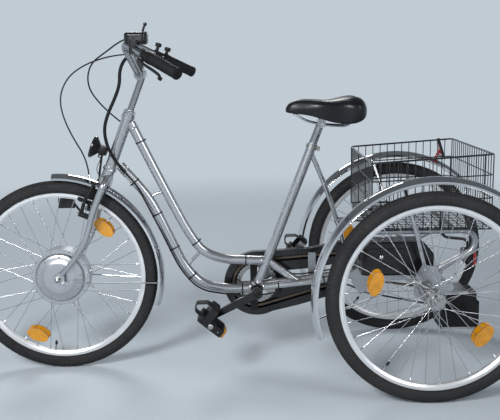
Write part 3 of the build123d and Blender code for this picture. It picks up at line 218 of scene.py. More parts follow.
class Surface:
    """A procedural Principled material, built up a layer at a time in object coordinates."""

    def __init__(self, name, colour, roughness=0.5, metallic=0.0, **fixed):
        self.material = bpy.data.materials.new(name)
        self.material.use_nodes = True
        self.tree = self.material.node_tree
        self.shader = self.tree.nodes["Principled BSDF"]
        self.colour = (*colour, 1)
        fill(self.shader, Base_Color=self.colour, Roughness=roughness, Metallic=metallic, **fixed)
        self.coordinates = self.node("ShaderNodeTexCoord").outputs["Object"]
        self.normal = None
        self.tint = None

    def node(self, kind, **settings):
        made = self.tree.nodes.new(kind)
        for key, value in settings.items():
            setattr(made, key, value)
        return made

    def link(self, start, end):
        self.tree.links.new(start, end)

    def noise(self, scale, detail, place=None):
        noise = self.node("ShaderNodeTexNoise")
        fill(noise, Scale=scale, Detail=detail)
        self.link(place or self.coordinates, noise.inputs["Vector"])
        return noise.outputs["Fac"]

    def tinted(self, value, colour, amount=1.0, start=0.35, end=0.65):
        """Mix the colour towards another one where value is high."""
        mix = self.node("ShaderNodeMix", data_type="RGBA")
        fill(mix, A=self.colour, B=(*colour, 1))
        if self.tint is not None:
            self.link(self.tint, mix.inputs["A"])
        self.link(ranged(self.tree, value, start, end, 0, amount), mix.inputs["Factor"])
        self.tint = mix.outputs["Result"]
        self.link(self.tint, self.shader.inputs["Base Color"])
        return self

    def roughened(self, value, low, high, start=0.35, end=0.65):
        self.link(ranged(self.tree, value, start, end, low, high), self.shader.inputs["Roughness"])
        return self

    def bumped(self, value, strength, distance):
        bump = self.node("ShaderNodeBump")
        fill(bump, Strength=strength, Distance=distance)
        self.link(value, bump.inputs["Height"])
        if self.normal is not None:
            self.link(self.normal, bump.inputs["Normal"])
        self.normal = bump.outputs["Normal"]
        self.link(self.normal, self.shader.inputs["Normal"])
        return self

    def rings(self, centre, scale):
        """Fine turning marks round an axle that runs across the vehicle."""
        offset = self.node("ShaderNodeVectorMath", operation="SUBTRACT")
        offset.inputs[1].default_value = centre
        self.link(self.coordinates, offset.inputs[0])
        flat = self.node("ShaderNodeVectorMath", operation="MULTIPLY")
        flat.inputs[1].default_value = (1, 0, 1)
        self.link(offset.outputs[0], flat.inputs[0])
        length = self.node("ShaderNodeVectorMath", operation="LENGTH")
        self.link(flat.outputs[0], length.inputs[0])
        line = self.node("ShaderNodeCombineXYZ")
        self.link(length.outputs["Value"], line.inputs["X"])
        return self.noise(scale, 4, line.outputs[0])


def silver_paint():
    s = Surface("silver_paint", (0.44, 0.45, 0.47), 0.26, 0.85, Coat_Weight=0.5, Coat_Roughness=0.06)
    s.tinted(s.noise(2600, 1), (0.52, 0.53, 0.55), 0.8)
    s.tinted(s.noise(9, 4), (0.34, 0.35, 0.37), 0.35)
    s.roughened(s.noise(18, 4), 0.20, 0.28)
    return s.bumped(s.noise(40, 2), 0.03, 0.0003).material


def chrome(name="chrome", tone=0.66, rough=(0.04, 0.10)):
    s = Surface(name, (tone, tone * 1.01, tone * 1.03), rough[0], 1.0)
    s.tinted(s.noise(14, 5), (tone * 0.86, tone * 0.87, tone * 0.89), 0.5)
    s.roughened(s.noise(30, 5), *rough)
    return s.bumped(s.noise(45, 3), 0.05, 0.0004).material


def plain_metal(name, colour, rough=(0.25, 0.42), fine=900):
    s = Surface(name, colour, rough[0], 1.0)
    s.tinted(s.noise(25, 5), tuple(c * 0.78 for c in colour), 0.6)
    s.roughened(s.noise(60, 4), *rough)
    return s.bumped(s.noise(fine, 2), 0.12, 0.0002).material


def turned_metal(name, colour, centre, rough=(0.2, 0.34), scale=2200, metallic=1.0):
    s = Surface(name, colour, rough[0], metallic)
    marks = s.rings(centre, scale)
    s.tinted(marks, tuple(c * 0.85 for c in colour), 0.6)
    s.tinted(s.noise(20, 4), tuple(c * 0.82 for c in colour), 0.4)
    s.roughened(marks, *rough)
    return s.bumped(marks, 0.15, 0.0002).material


def plastic(name, colour, rough=(0.42, 0.56), grain=1400, strength=0.25):
    s = Surface(name, colour, rough[0], 0.0, Specular_IOR_Level=0.2)
    s.tinted(s.noise(12, 4), tuple(min(1, c * 1.6 + 0.003) for c in colour), 0.5)
    s.roughened(s.noise(35, 4), *rough)
    return s.bumped(s.noise(grain, 2), strength, 0.00025).material


def gloss_plastic(name, colour):
    s = Surface(name, colour, 0.2, 0.0, Specular_IOR_Level=0.35, Coat_Weight=0.25, Coat_Roughness=0.08)
    s.tinted(s.noise(10, 4), tuple(c * 1.5 + 0.006 for c in colour), 0.5)
    s.roughened(s.noise(26, 4), 0.14, 0.28)
    return s.bumped(s.noise(60, 3), 0.04, 0.0005).material


def tyre_rubber():
    s = Surface("tyre_rubber", (0.020, 0.020, 0.022), 0.68, 0.0, Specular_IOR_Level=0.22)
    s.tinted(s.noise(10, 6), (0.038, 0.037, 0.036), 0.6)
    s.tinted(s.noise(160, 3), (0.010, 0.010, 0.011), 0.5)
    s.roughened(s.noise(40, 5), 0.62, 0.85)
    return s.bumped(s.noise(700, 3), 0.3, 0.0003).material


def grip_rubber():
    s = Surface("grip_rubber", (0.008, 0.008, 0.009), 0.55, 0.0, Specular_IOR_Level=0.2)
    s.tinted(s.noise(30, 4), (0.016, 0.016, 0.018), 0.6)
    s.roughened(s.noise(60, 3), 0.5, 0.7)
    return s.bumped(s.noise(1500, 2), 0.3, 0.0003).material


def saddle_skin():
    """Glossy black vinyl with a fine leather grain."""
    coat = {"Coat_Weight": 0.08, "Coat_Roughness": 0.2}
    s = Surface("saddle_skin", (0.006, 0.006, 0.008), 0.3, 0.0, Specular_IOR_Level=0.26, **coat)
    s.tinted(s.noise(16, 4), (0.010, 0.010, 0.013), 0.6)
    cells = s.node("ShaderNodeTexVoronoi", feature="DISTANCE_TO_EDGE")
    fill(cells, Scale=520)
    s.link(s.coordinates, cells.inputs["Vector"])
    s.roughened(s.noise(22, 4), 0.26, 0.40)
    s.bumped(ranged(s.tree, cells.outputs["Distance"], 0, 0.25), 0.22, 0.00025)
    return s.bumped(s.noise(90, 3), 0.08, 0.0006).material


def reflector_lens(name, colour, deep):
    """Moulded lens with a close grid of prisms."""
    coat = {"Coat_Weight": 0.6, "Coat_Roughness": 0.05}
    s = Surface(name, colour, 0.18, 0.0, Transmission_Weight=0.15, IOR=1.49, **coat)
    checks = s.node("ShaderNodeTexVoronoi", feature="F1")
    fill(checks, Scale=330, Randomness=0.0)
    s.link(s.coordinates, checks.inputs["Vector"])
    s.tinted(checks.outputs["Distance"], deep, 0.85, 0.25, 0.6)
    s.tinted(s.noise(60, 3), tuple(min(1, c * 1.25) for c in colour), 0.4)
    s.roughened(s.noise(80, 3), 0.14, 0.26)
    return s.bumped(checks.outputs["Distance"], 0.35, 0.0008).material


def oiled_chain_and_painted_glints():
    s = Surface("oiled_chain_and_painted_glints", (0.15, 0.115, 0.085), 0.38, 0.85)
    s.tinted(s.noise(300, 3), (0.05, 0.038, 0.027), 0.8)
    # lighter fine flecks: painted highlights on the oiled links
    s.tinted(s.noise(900, 2), (0.24, 0.20, 0.16), 0.4)
    s.roughened(s.noise(120, 4), 0.28, 0.55)
    return s.bumped(s.noise(600, 2), 0.2, 0.0003).material


SILVER = silver_paint()
CHROME = chrome()
BAR_CHROME = chrome("bar_chrome", 0.44, (0.07, 0.14))
PLATE = plain_metal("plate_metal", (0.46, 0.47, 0.49), (0.3, 0.45))
ZINC = plain_metal("zinc_steel", (0.42, 0.42, 0.41), (0.25, 0.42))
SPOKE = plain_metal("spoke_steel", (0.55, 0.56, 0.58), (0.16, 0.26), 300)
BLACK_METAL = plastic("black_metal", (0.009, 0.009, 0.010), (0.25, 0.38), 700, 0.1)
MATTE = plastic("matte_plastic", (0.010, 0.010, 0.011))
CABLE = plastic("cable_skin", (0.008, 0.008, 0.009), (0.32, 0.46), 500, 0.08)
GLOSS = gloss_plastic("gloss_black", (0.006, 0.006, 0.007))
WIRE = gloss_plastic("wire_coat", (0.012, 0.012, 0.014))
TYRE = tyre_rubber()
RUBBER = grip_rubber()
VINYL = saddle_skin()
AMBER = reflector_lens("amber_lens", (0.74, 0.33, 0.010), (0.44, 0.17, 0.003))
# darker copy of the amber lens for the reflectors' side faces: painted shade
AMBER_SHADE = reflector_lens("amber_painted_shade", (0.36, 0.14, 0.004), (0.22, 0.08, 0.002))
RED = reflector_lens("red_lens", (0.62, 0.015, 0.012), (0.22, 0.002, 0.002))
LENS = reflector_lens("clear_lens", (0.82, 0.84, 0.86), (0.50, 0.52, 0.55))
SCREEN = gloss_plastic("screen_glass", (0.020, 0.024, 0.028))
CHAIN = oiled_chain_and_painted_glints()
RIMS = {
    body: turned_metal(f"{body}_rim_alloy", (0.82, 0.83, 0.84), hub, (0.26, 0.36), 2200, 0.6)
    for body, hub in HUBS.items()
}
MOTOR = turned_metal("motor_alloy", (0.56, 0.57, 0.59), HUBS["front_wheel"], (0.26, 0.40), 1500)
HUB_METAL = {
    body: turned_metal(f"{body}_hub_metal", (0.48, 0.48, 0.48), hub, (0.22, 0.36))
    for body, hub in HUBS.items() if body != "front_wheel"
}

SLOTS = {  # slot names by material, looked up in Hardware.made
    SILVER: "silver_paint", CHROME: "chrome", ZINC: "zinc_steel", SPOKE: "spoke_steel", PLATE: "plate_alloy",
    MOTOR: "motor_alloy", CHAIN: "chain_steel", WIRE: "wire_black", GLOSS: "gloss_black",
    SCREEN: "gloss_black", MATTE: "black_plastic", CABLE: "black_plastic", RUBBER: "rubber",
    AMBER: "amber", RED: "red",
}

LOOKS = [
    (SILVER, "fork head_tube upper_tube lower_tube seat_tube chainstays axle_frame"),
    (CHROME, "front_mudguard rear_mudguards mudguard_stays"),
    (BAR_CHROME, "rear_strut seat_post handlebar stem"),
    (ZINC, "front_axle gear_hub chainring"),
    (PLATE, "hub_plates carrier battery_tray"),
    (BLACK_METAL, "front_brake controller_box"),
    (MATTE, "brake_levers bar_controls headlamp left_pedal right_pedal"),
    (GLOSS, "console sensor_box crankset chain_guard battery tail_lamp"),
    (CABLE, "front_brake_cable gear_cable gear_cable_loop wiring_conduit power_cable"),
    (RUBBER, "grips"), (CHAIN, "chains"), (WIRE, "basket"), (VINYL, "saddle"),
    (RED, "rear_reflector"), (MOTOR, "front_hub_motor"), (RIMS["front_wheel"], "front_rim"),
]
for side in ("left", "right"):
    body = f"rear_wheel_{side}"
    LOOKS += [(RIMS[body], f"rear_{side}_rim"), (HUB_METAL[body], f"rear_{side}_hub")]
for end in ("front", "rear_left", "rear_right"):
    LOOKS += [(TYRE, end + "_tyre"), (SPOKE, end + "_spokes"), (AMBER, end + "_reflectors")]
for material, names in LOOKS:
    for name in names.split():
        nodes[name].data.materials.clear()
        nodes[name].data.materials.append(material)

# -------- mesh helpers, sized in millimetres


def add_mesh(name, vertices, faces, material, body, smooth=True):
    mesh = bpy.data.meshes.new(name)
    mesh.from_pydata([tuple(v) for v in vertices], [], faces)
    mesh.validate()
    mesh.polygons.foreach_set("use_smooth", [smooth] * len(mesh.polygons))
    mesh.materials.append(material)
    piece = placed(name, mesh)
    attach(piece, body)
    return piece


def skin(base, count, rows):
    """Faces between rows of points round a shape, and across both its ends."""
    last = base + (rows - 1) * count
    faces = []
    for low in range(base, last, count):
        for i in range(count):
            j = (i + 1) % count
            faces.append((low + i, low + j, low + count + j, low + count + i))
    faces.append(tuple(base + i for i in reversed(range(count))))
    faces.append(tuple(last + i for i in range(count)))
    return faces


def round_curve(name, kind, runs, radius, resolution, cyclic=False):
    """Curve object with a round section along each run of points."""
    data = bpy.data.curves.new(name, "CURVE")
    data.dimensions = "3D"
    data.bevel_depth = radius * 0.001
    data.bevel_resolution = resolution
    data.use_fill_caps = True
    for run in runs:
        spline = data.splines.new(kind)
        spline.points.add(len(run) - 1)
        for point, place in zip(spline.points, run):
            point.co = (*place, 1)
        spline.use_cyclic_u = cyclic
    return placed(name, data)


def add_wires(name, runs, radius, material, resolution=2, cyclic=False):
    """Round wires along straight runs, fixed to the frame."""
    piece = round_curve(name, "POLY", runs, radius, resolution, cyclic)
    piece.data.materials.append(material)
    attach(piece, "frame")
    return piece


def smooth_tube(name, route, radius, material, body=None, steps=12):
    """Mesh tube that follows a smooth line near the route's corners."""
    source = round_curve(name, "NURBS", [line_of(*route)], radius, 3)
    source.data.resolution_u = steps
    spline = source.data.splines[0]
    spline.order_u = 3
    spline.use_endpoint_u = True
    bpy.context.view_layer.update()
    mesh = bpy.data.meshes.new_from_object(source.evaluated_get(bpy.context.evaluated_depsgraph_get()))
    bpy.data.objects.remove(source)
    mesh.name = name
    mesh.polygons.foreach_set("use_smooth", [True] * len(mesh.polygons))
    mesh.materials.clear()
    mesh.materials.append(material)
    piece = placed(name, mesh)
    if body:
        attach(piece, body)
    return piece


def frame_about(way, hint=ACROSS):
    """Two directions square to a way."""
    way = way.normalized()
    if abs(way.dot(hint)) > 0.9:
        hint = AHEAD
    first = (hint - way * hint.dot(way)).normalized()
    return first, way.cross(first)


def mark_sharp(piece, angle=35):
    """Keep sharp edges sharp under smooth shading."""
    bm = bmesh.new()
    bm.from_mesh(piece.data)
    bmesh.ops.recalc_face_normals(bm, faces=bm.faces)
    for edge in bm.edges:
        if len(edge.link_faces) == 2 and edge.calc_face_angle(0) > radians(angle):
            edge.smooth = False
    bm.to_mesh(piece.data)
    bm.free()


class Hardware:
    """Collects turned and boxed shapes into one mesh."""

    def __init__(self):
        self.vertices, self.faces = [], []

    def turned(self, centre, way, outline, segments=24):
        """Turn an outline of (along, radius) about a line."""
        first, second = frame_about(way)
        way = way.normalized()
        base = len(self.vertices)
        for along, radius in outline:
            for i in range(segments):
                t = 2 * pi * i / segments
                spoke = first * cos(t) + second * sin(t)
                self.vertices.append(centre + (way * along + spoke * radius) * 0.001)
        for row in range(len(outline) - 1):
            low, high = base + row * segments, base + (row + 1) * segments
            for i in range(segments):
                j = (i + 1) % segments
                self.faces.append((low + i, high + i, high + j, low + j))
        last = base + (len(outline) - 1) * segments
        self.faces.append(tuple(base + i for i in range(segments)))
        self.faces.append(tuple(last + i for i in reversed(range(segments))))
        return self

    def hexagon(self, centre, way, height, radius):
        bevel = radius * 0.12
        return self.turned(centre, way, [(0, radius), (height - bevel, radius), (height, radius - bevel)], 6)

    def screw(self, centre, way, radius, height):
        """Domed screw head with a socket."""
        head = [(0, 1), (0.55, 1), (1, 0.72), (1, 0.42), (0.4, 0.40), (0.4, 0.02)]
        return self.turned(centre, way, [(height * a, radius * r) for a, r in head], 16)

    def block(self, centre, size, bevel, ways=(AHEAD, ACROSS, UP)):
        """Box with rounded edges, square to three directions."""
        bm = bmesh.new()
        bmesh.ops.create_cube(bm, size=1)
        for vertex in bm.verts:
            vertex.co = Vector(a * b * 0.001 for a, b in zip(vertex.co, size))
        bmesh.ops.bevel(bm, geom=bm.edges[:], offset=bevel * 0.001, segments=2, affect="EDGES", profile=0.5)
        bm.verts.index_update()
        base = len(self.vertices)
        self.vertices += [centre + ways[0] * v.co.x + ways[1] * v.co.y + ways[2] * v.co.z for v in bm.verts]
        self.faces += [tuple(base + v.index for v in face.verts) for face in bm.faces]
        bm.free()
        return self

    def made(self, name, material, body, smooth=True, slot=None):
        """The collected mesh as a piece; smooth ones keep their sharp edges."""
        piece = add_mesh(name, self.vertices, self.faces, material, body, smooth)
        if smooth:
            mark_sharp(piece)
        slot = slot or SLOTS.get(material)
        return piece


# -------- tyres with tread, spoke nipples and valves

TYRE_CIRCLE, TYRE_SECTION = 303, 23.5  # radii of the section's centre line and of the section
TREAD_PITCH, TREAD_LENGTH = 14.25, 2051.0
TREAD = [0, 2.2, 4.6, 5.1, 6.7, 7.2, 9.6, 10.1, 13, 16, 18.6, 19.2, 20.2]  # distances from the middle
SIDEWALL = [64, 70, 77, 80, 84, 92, 100, 108, 116, 122, 126, 130, 135]  # degrees round the section
SIDEWALL_LINES = (22, 24, 29)
NIPPLE_CIRCLE, VALVE_CIRCLE = 268.7, 269.2
HUB_TRIM = {  # phase, hub circle, sweep, outer and inner flange, valve angle
    "front_wheel": (12, 91, 20, 34, 31, -82),
    "rear_wheel_left": (14.5, 23.5, 60, 31, 22.5, -56),
    "rear_wheel_right": (14.5, 23.5, 60, 31, 22.5, -56),
}


def tread_depth(column, run, lateral):
    """How far the rubber is cut away."""
    slanted = (run + 0.5 * lateral) % TREAD_PITCH < 4.2
    if column in (3, 4):
        return 1.5
    if 8 <= column <= 10:
        return 1.6 if slanted else 0.0
    if column == 11:
        return 1.2 if slanted else 0.0
    if column == 0:
        return 0.9 if run % TREAD_PITCH < 2.0 else 0.0
    return 0.0


def make_tyre(node, body, around=960):
    hub = HUBS[body]
    half = [(i, lateral, None) for i, lateral in enumerate(TREAD)]
    half += [(20 + i, None, angle) for i, angle in enumerate(SIDEWALL)]
    columns = [(-1, *entry) for entry in half[::-1]] + [(1, *entry) for entry in half[1:]]
    vertices, faces = [], []
    for k in range(around):
        turn = 2 * pi * k / around
        run = TREAD_LENGTH * k / around
        zigzag = abs((run / TREAD_PITCH) % 1 - 0.5) * 4 - 1
        for side, column, lateral, angle in columns:
            if angle is None:
                shift = 1.1 * zigzag if 1 <= column <= 7 else 0
                phi = math.asin((lateral + shift) / TYRE_SECTION)
                section = TYRE_SECTION - tread_depth(column, run, lateral * side)
            else:
                phi = radians(angle)
                section = TYRE_SECTION - (0.5 if column in SIDEWALL_LINES else 0)
            radius = TYRE_CIRCLE + section * cos(phi)
            vertices.append(hub + mm(radius * cos(turn), side * section * sin(phi), radius * sin(turn)))
    count = len(columns)
    for k in range(around):
        row, following = k * count, (k + 1) % around * count
        for i in range(count - 1):
            faces.append((row + i, row + i + 1, following + i + 1, following + i))
    piece = add_mesh(node + "_tread", vertices, faces, TYRE, body)
    mark_sharp(piece, 30)
    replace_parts(piece, node)


def spoke_line(hub, at_rim, sweep, hub_circle, start, end):
    at_hub = at_rim + radians(sweep)
    low = mm(hub_circle * cos(at_hub), start, hub_circle * sin(at_hub))
    high = mm(NIPPLE_CIRCLE * cos(at_rim), end, NIPPLE_CIRCLE * sin(at_rim))
    return hub + low, hub + high


def make_wheel_trim(body, phase, hub_circle, sweep, outer, inner, valve):
    hub = HUBS[body]
    rows = [(-sweep, outer, 4.5), (-sweep, -outer, -4.5), (sweep, inner, 1.5), (sweep, -inner, -1.5)]
    nipple = [(-1, 2.4), (1, 2.4), (2.5, 1.9), (11.5, 1.6), (12, 1.2)]
    nipples = Hardware()
    for first, (turn, start, end) in enumerate(rows):
        for i in range(first, 36, 4):
            at_rim = radians(phase) + 2 * pi * i / 36
            low, high = spoke_line(hub, at_rim, turn, hub_circle, start, end)
            nipples.turned(high, low - high, nipple, 8)
    nipples.made(body + "_nipples", SPOKE, body)
    turn = radians(valve)
    inward = -Vector((cos(turn), 0, sin(turn)))
    seat = hub - inward * VALVE_CIRCLE * 0.001
    stem = Hardware().turned(seat, inward, [(-2, 4.5), (2.5, 4.5), (3, 3), (26, 2.8)], 16)
    stem.made(body + "_valve", ZINC, body)
    cap = Hardware().turned(seat + inward * 0.02, inward, [(0, 4), (1, 4.5), (11, 4.3), (13.5, 3)], 12)
    cap.made(body + "_valve_cap", MATTE, body)


for node, body in zip(("front_tyre", "rear_left_tyre", "rear_right_tyre"), HUBS):
    make_tyre(node, body)
for body, sizes in HUB_TRIM.items():
    make_wheel_trim(body, *sizes)

# -------- saddle

SADDLE = [  # station, half width, underside, widest height, shoulder height, middle height
    (-170.5, 4, 869, 873, 877, 878),
    (-174, 11, 866, 874, 885, 887),
    (-183, 17, 864, 876, 895, 898),
    (-198, 22, 862, 879, 903, 907),
    (-220, 25, 860, 881, 907, 911),
    (-248, 28, 856, 883, 906, 910),
    (-278, 36, 847, 885, 905, 908),
    (-306, 52, 838, 887, 905, 906),
    (-334, 76, 832, 888, 910, 906),
    (-362, 95, 830, 889, 917, 909),
    (-388, 102, 832, 888, 920, 912),
    (-408, 100, 838, 886, 916, 908),
    (-422, 88, 847, 881, 905, 898),
    (-430, 66, 859, 876, 890, 886),
    (-432.5, 40, 866, 873, 878, 876),
]


def saddle_section(under, widest, shoulder, middle):
    """Left half of a cross section, as shares of the half width and heights."""
    rise = shoulder - widest
    return [
        (0.0, middle), (0.22, middle + (shoulder - middle) * 0.35), (0.46, shoulder),
        (0.68, shoulder - rise * 0.12), (0.86, shoulder - rise * 0.42), (0.97, widest + rise * 0.2),
        (1.0, widest - 4), (0.975, (widest + under) / 2), (0.93, under + 2), (0.86, under),
        (0.8, under + 3), (0.4, under + 7), (0, under + 8),
    ]


def make_saddle():
    vertices = []
    for x, half, *heights in SADDLE:
        left = saddle_section(*heights)
        loop = left + [(-a, z) for a, z in left[-2:0:-1]]
        vertices += [mm(x, a * half, z) for a, z in loop]
    piece = add_mesh("saddle_cover", vertices, skin(0, len(loop), len(SADDLE)), VINYL, "frame")
    rounding = piece.modifiers.new("rounding", "SUBSURF")
    rounding.levels = rounding.render_levels = 2
    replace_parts(piece, "saddle")


make_saddle()

# -------- wire basket

BASKET_FRONT, BASKET_REAR, BASKET_HALF, BASKET_FLOOR = -420, -785, 250, 515.3
FRONT_HEIGHT, REAR_HEIGHT, RIM_DROP = 212, 235, 3
BASKET_CORNERS = [(BASKET_FRONT, -1), (BASKET_FRONT, 1), (BASKET_REAR, 1), (BASKET_REAR, -1)]
BASKET_RAILS = [  # name, share of the height, inset, radius
    ("basket_rim", 1, 0, 3.0), ("basket_upper_rail", 0.72, 0.9, 2.0),
    ("basket_lower_rail", 0.42, 0.9, 2.0), ("basket_foot", 0.015, 0, 2.2),
]
CORNER_RADIUS = 0.012


def basket_height(x):
    share = (x - BASKET_REAR) / (BASKET_FRONT - BASKET_REAR)
    return REAR_HEIGHT + (FRONT_HEIGHT - REAR_HEIGHT) * share


def basket_top(x):
    return BASKET_FLOOR + basket_height(x) - RIM_DROP


def rounded_loop(loop):
    """A closed line with its corners rounded off."""
    path = []
    for i, corner in enumerate(loop):
        before, after = loop[i - 1], loop[(i + 1) % len(loop)]
        start = corner + (before - corner).normalized() * CORNER_RADIUS
        end = corner + (after - corner).normalized() * CORNER_RADIUS
        path += [start.lerp(corner, t).lerp(corner.lerp(end, t), t) for t in (0, 0.25, 0.5, 0.75, 1)]
    return path


def make_basket():
    floor = BASKET_FLOOR + 1.6
    crosswise, lengthwise = 14, 19  # gaps between the thin wires
    thin = []
    for i in range(1, crosswise):
        x = BASKET_REAR + (BASKET_FRONT - BASKET_REAR) * i / crosswise
        line = [(-1, basket_top(x)), (-1, floor), (1, floor), (1, basket_top(x))]
        thin.append([mm(x, side * BASKET_HALF, z) for side, z in line])
    for i in range(1, lengthwise):
        y = -BASKET_HALF + 2 * BASKET_HALF * i / lengthwise
        front, rear = BASKET_FRONT, BASKET_REAR
        line = [(front, basket_top(front)), (front, floor + 3), (rear, floor + 3), (rear, basket_top(rear))]
        thin.append([mm(x, y, z) for x, z in line])
    fine = add_wires("basket_wires", thin, 1.55, WIRE)
    for name, share, inset, radius in BASKET_RAILS:
        loop = []
        for x, side in BASKET_CORNERS:
            height = basket_height(x) - RIM_DROP if share == 1 else share * basket_height(x)
            inner = x - math.copysign(inset, x - BASKET_REAR - 1)
            loop.append(mm(inner, side * (BASKET_HALF - inset), BASKET_FLOOR + height))
        add_wires(name, [rounded_loop(loop)], radius, WIRE, 3, cyclic=True)
    posts = [[mm(x, side * BASKET_HALF, z) for z in (floor, basket_top(x))] for x, side in BASKET_CORNERS]
    add_wires("basket_corner_wires", posts, 1.9, WIRE, 3)
    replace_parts(fine, "basket")


make_basket()

# -------- per-face finishes and painted shade on the solids


def paint(name, material, test):
    """Give the faces whose middle, in millimetres, passes the test another material."""
    mesh = nodes[name].data
    mesh.materials.append(material)
    slot = len(mesh.materials) - 1
    for face in mesh.polygons:
        if test(face.center * 1000, face.normal):
            face.material_index = slot


# the reflectors' side faces take the darker amber: painted shade
for name in ("front_reflectors", "rear_left_reflectors", "rear_right_reflectors"):
    paint(name, AMBER_SHADE, lambda middle, normal: abs(normal.y) < 0.5)
paint("chain_guard", PLATE, lambda middle, normal: middle.y > -36.9 and middle.x < -200)
paint("chain_guard", BLACK_METAL, lambda middle, normal: middle.y > -36.9 and middle.x > -80)
paint("battery", CHROME, lambda middle, normal: middle.y > 172.4)
paint("crankset", ZINC, lambda middle, normal: abs(middle.y) < 34)
for name in ("left_pedal", "right_pedal"):
    paint(name, ZINC, lambda middle, normal: abs(middle.y) < 103)

# -------- chains

CHAIN_PITCH = 12.7
CHAINRING, GEAR_HUB, REAR_SPROCKET = (-68, 276, 80.7), (-450, 345, 40.6), (-596, 326.5, 45.7)  # x, z, radius


def belt(first, second):
    """Pins at even steps along a loop round two sprockets."""
    (ax, az, ar), (bx, bz, br) = first, second
    reach = math.hypot(bx - ax, bz - az)
    heading = math.atan2(bz - az, bx - ax)
    wrap = math.acos((ar - br) / reach)
    run = reach * sin(wrap)
    back, front = ar * (2 * pi - 2 * wrap), br * 2 * wrap
    total = back + run + front + run
    count = round(total / CHAIN_PITCH / 2) * 2

    def on_first(t):
        return Vector((ax + ar * cos(t), az + ar * sin(t)))

    def on_second(t):
        return Vector((bx + br * cos(t), bz + br * sin(t)))

    points = []
    for i in range(count):
        s = total * i / count
        if s < back:
            points.append(on_first(heading + wrap + s / ar))
        elif s < back + run:
            t = heading - wrap
            points.append(on_first(t).lerp(on_second(t), (s - back) / run))
        elif s < back + run + front:
            points.append(on_second(heading - wrap + (s - back - run) / br))
        else:
            t = heading + wrap
            points.append(on_second(t).lerp(on_first(t), (s - back - run - front) / run))
    return points


def link_outline(start, end):
    """Waisted side plate round two pins."""
    way = (end - start).normalized()
    side = Vector((-way.y, way.x))
    outline = []
    for centre, base, waist in ((end, 0, 3.1), (start, pi, -3.1)):
        for k in range(-2, 3):
            t = base + k * pi / 4.6
            outline.append(centre + (way * cos(t) + side * sin(t)) * 4.2)
        outline.append((start + end) / 2 + side * waist)
    return outline


def make_chain(name, first, second, y):
    pins = belt(first, second)
    links = Hardware()
    for i, pin in enumerate(pins):
        plate = 2.6 if i % 2 == 0 else 1.7
        outline = link_outline(pin, pins[(i + 1) % len(pins)])
        for side in (1, -1):
            links.faces += skin(len(links.vertices), len(outline), 2)
            for shift in (plate, plate + 0.85):
                links.vertices += [mm(p.x, y + side * shift, p.y) for p in outline]
        links.turned(mm(pin.x, y - 1.7, pin.y), ACROSS, [(0, 3.9), (3.4, 3.9)], 8)
        links.turned(mm(pin.x, y - 3.7, pin.y), ACROSS, [(0, 1.6), (7.4, 1.6)], 6)
    piece = links.made(name, CHAIN, "frame", False)
    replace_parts(piece, "chains")


make_chain("drive_chain", CHAINRING, GEAR_HUB, -50)
make_chain("rear_chain", GEAR_HUB, REAR_SPROCKET, 35)

# -------- grips, levers and display

RIB_START, RIB_PITCH, RIB_COUNT = -12, 6.6, 16
RIB = [(0, 17.1), (1.2, 17.9), (3.6, 17.9), (4.8, 17.1)]
GRIP_OUTLINE = [(0, 10), (0, 16.2), (-1.5, 18.6), (-6, 18.6), (-7.5, 17.2)]
for k in range(RIB_COUNT):
    GRIP_OUTLINE += [(RIB_START - RIB_PITCH * k - shift, radius) for shift, radius in RIB]
GRIP_OUTLINE += [(-118.5, 17.2), (-119.5, 18.6), (-123.8, 18.6), (-124, 11.2)]
LEVER_CLAMP = 0.152

for side, name in ((1, "left"), (-1, "right")):
    end, way = GRIP_END[side], GRIP_WAY[side]
    ribs = Hardware().turned(end, way, GRIP_OUTLINE, 28)
    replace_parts(ribs.made(f"{name}_grip_ribs", RUBBER, "steering"), "grips")
    up = (UP - way * way.z).normalized()
    forward = way.cross(up) * side
    drop = (forward * 0.75 - up * 0.66).normalized()
    clamp = end - way * LEVER_CLAMP
    fittings = Hardware()
    fittings.screw(clamp + drop * 0.0235 + up * 0.008, up, 4.2, 3)
    fittings.screw(clamp - forward * 0.0148, -forward, 3.6, 2.8)
    barrel = [(0, 4.5), (3, 5.2), (10, 5.2), (12, 3.8), (20, 3.4)]
    fittings.turned(clamp + drop * 0.021 - way * 0.012, -way, barrel, 16)
    fittings.made(f"{name}_lever_fittings", ZINC, "steering", False)

window = Hardware().block(mm(291, 135, 1126.4), (46, 36, 1.8), 0.8)
window.made("display_window", SCREEN, "steering")
keys = Hardware()
for y in (123, 135, 147):
    keys.turned(mm(262, y, 1125.5), UP, [(0, 4.2), (1.4, 4.2), (2, 3.4)], 18)
keys.made("display_keys", MATTE, "steering")

# -------- headset, stem, seat and saddle clamps

UPPER = line_of(
    (340, 0, 842), (281, 0, 714), (203, 0, 553), (160, 0, 468), (112, 0, 400), (40, 0, 373), (-104, 0, 366)
)
LOWER = line_of(
    (381, 0, 701), (286, 0, 589), (236, 0, 482), (178, 0, 354), (120, 0, 287), (30, 0, 270), (-68, 0, 271)
)
STAY = line_of((-68, 24, 280), (-214, 24, 293), (-376, 24, 314))
GEAR_LINE = line_of(
    (311.5, -18.8, 780), (281, -18.8, 714), (203, -18.8, 553), (160, -18.8, 468), (112, -18.8, 400),
    (40, -18.8, 373), (-54, -18.8, 368.4),
)
POWER_LINE = line_of(
    (362, 21.8, 678.6), (326, 19.1, 636.1), (299.2, 18.5, 580.5), (249.5, 15.5, 476), (191, 15, 345),
    (128, 15, 271.5), (30, 15, 254.5), (-60, 18, 247), (-140, 24, 263), (-300, 24, 285), (-372, 27, 290),
)
TUBE, STAY_TUBE, GEAR_CABLE, POWER_CABLE = 16, 11, 2.5, 2.8  # radii

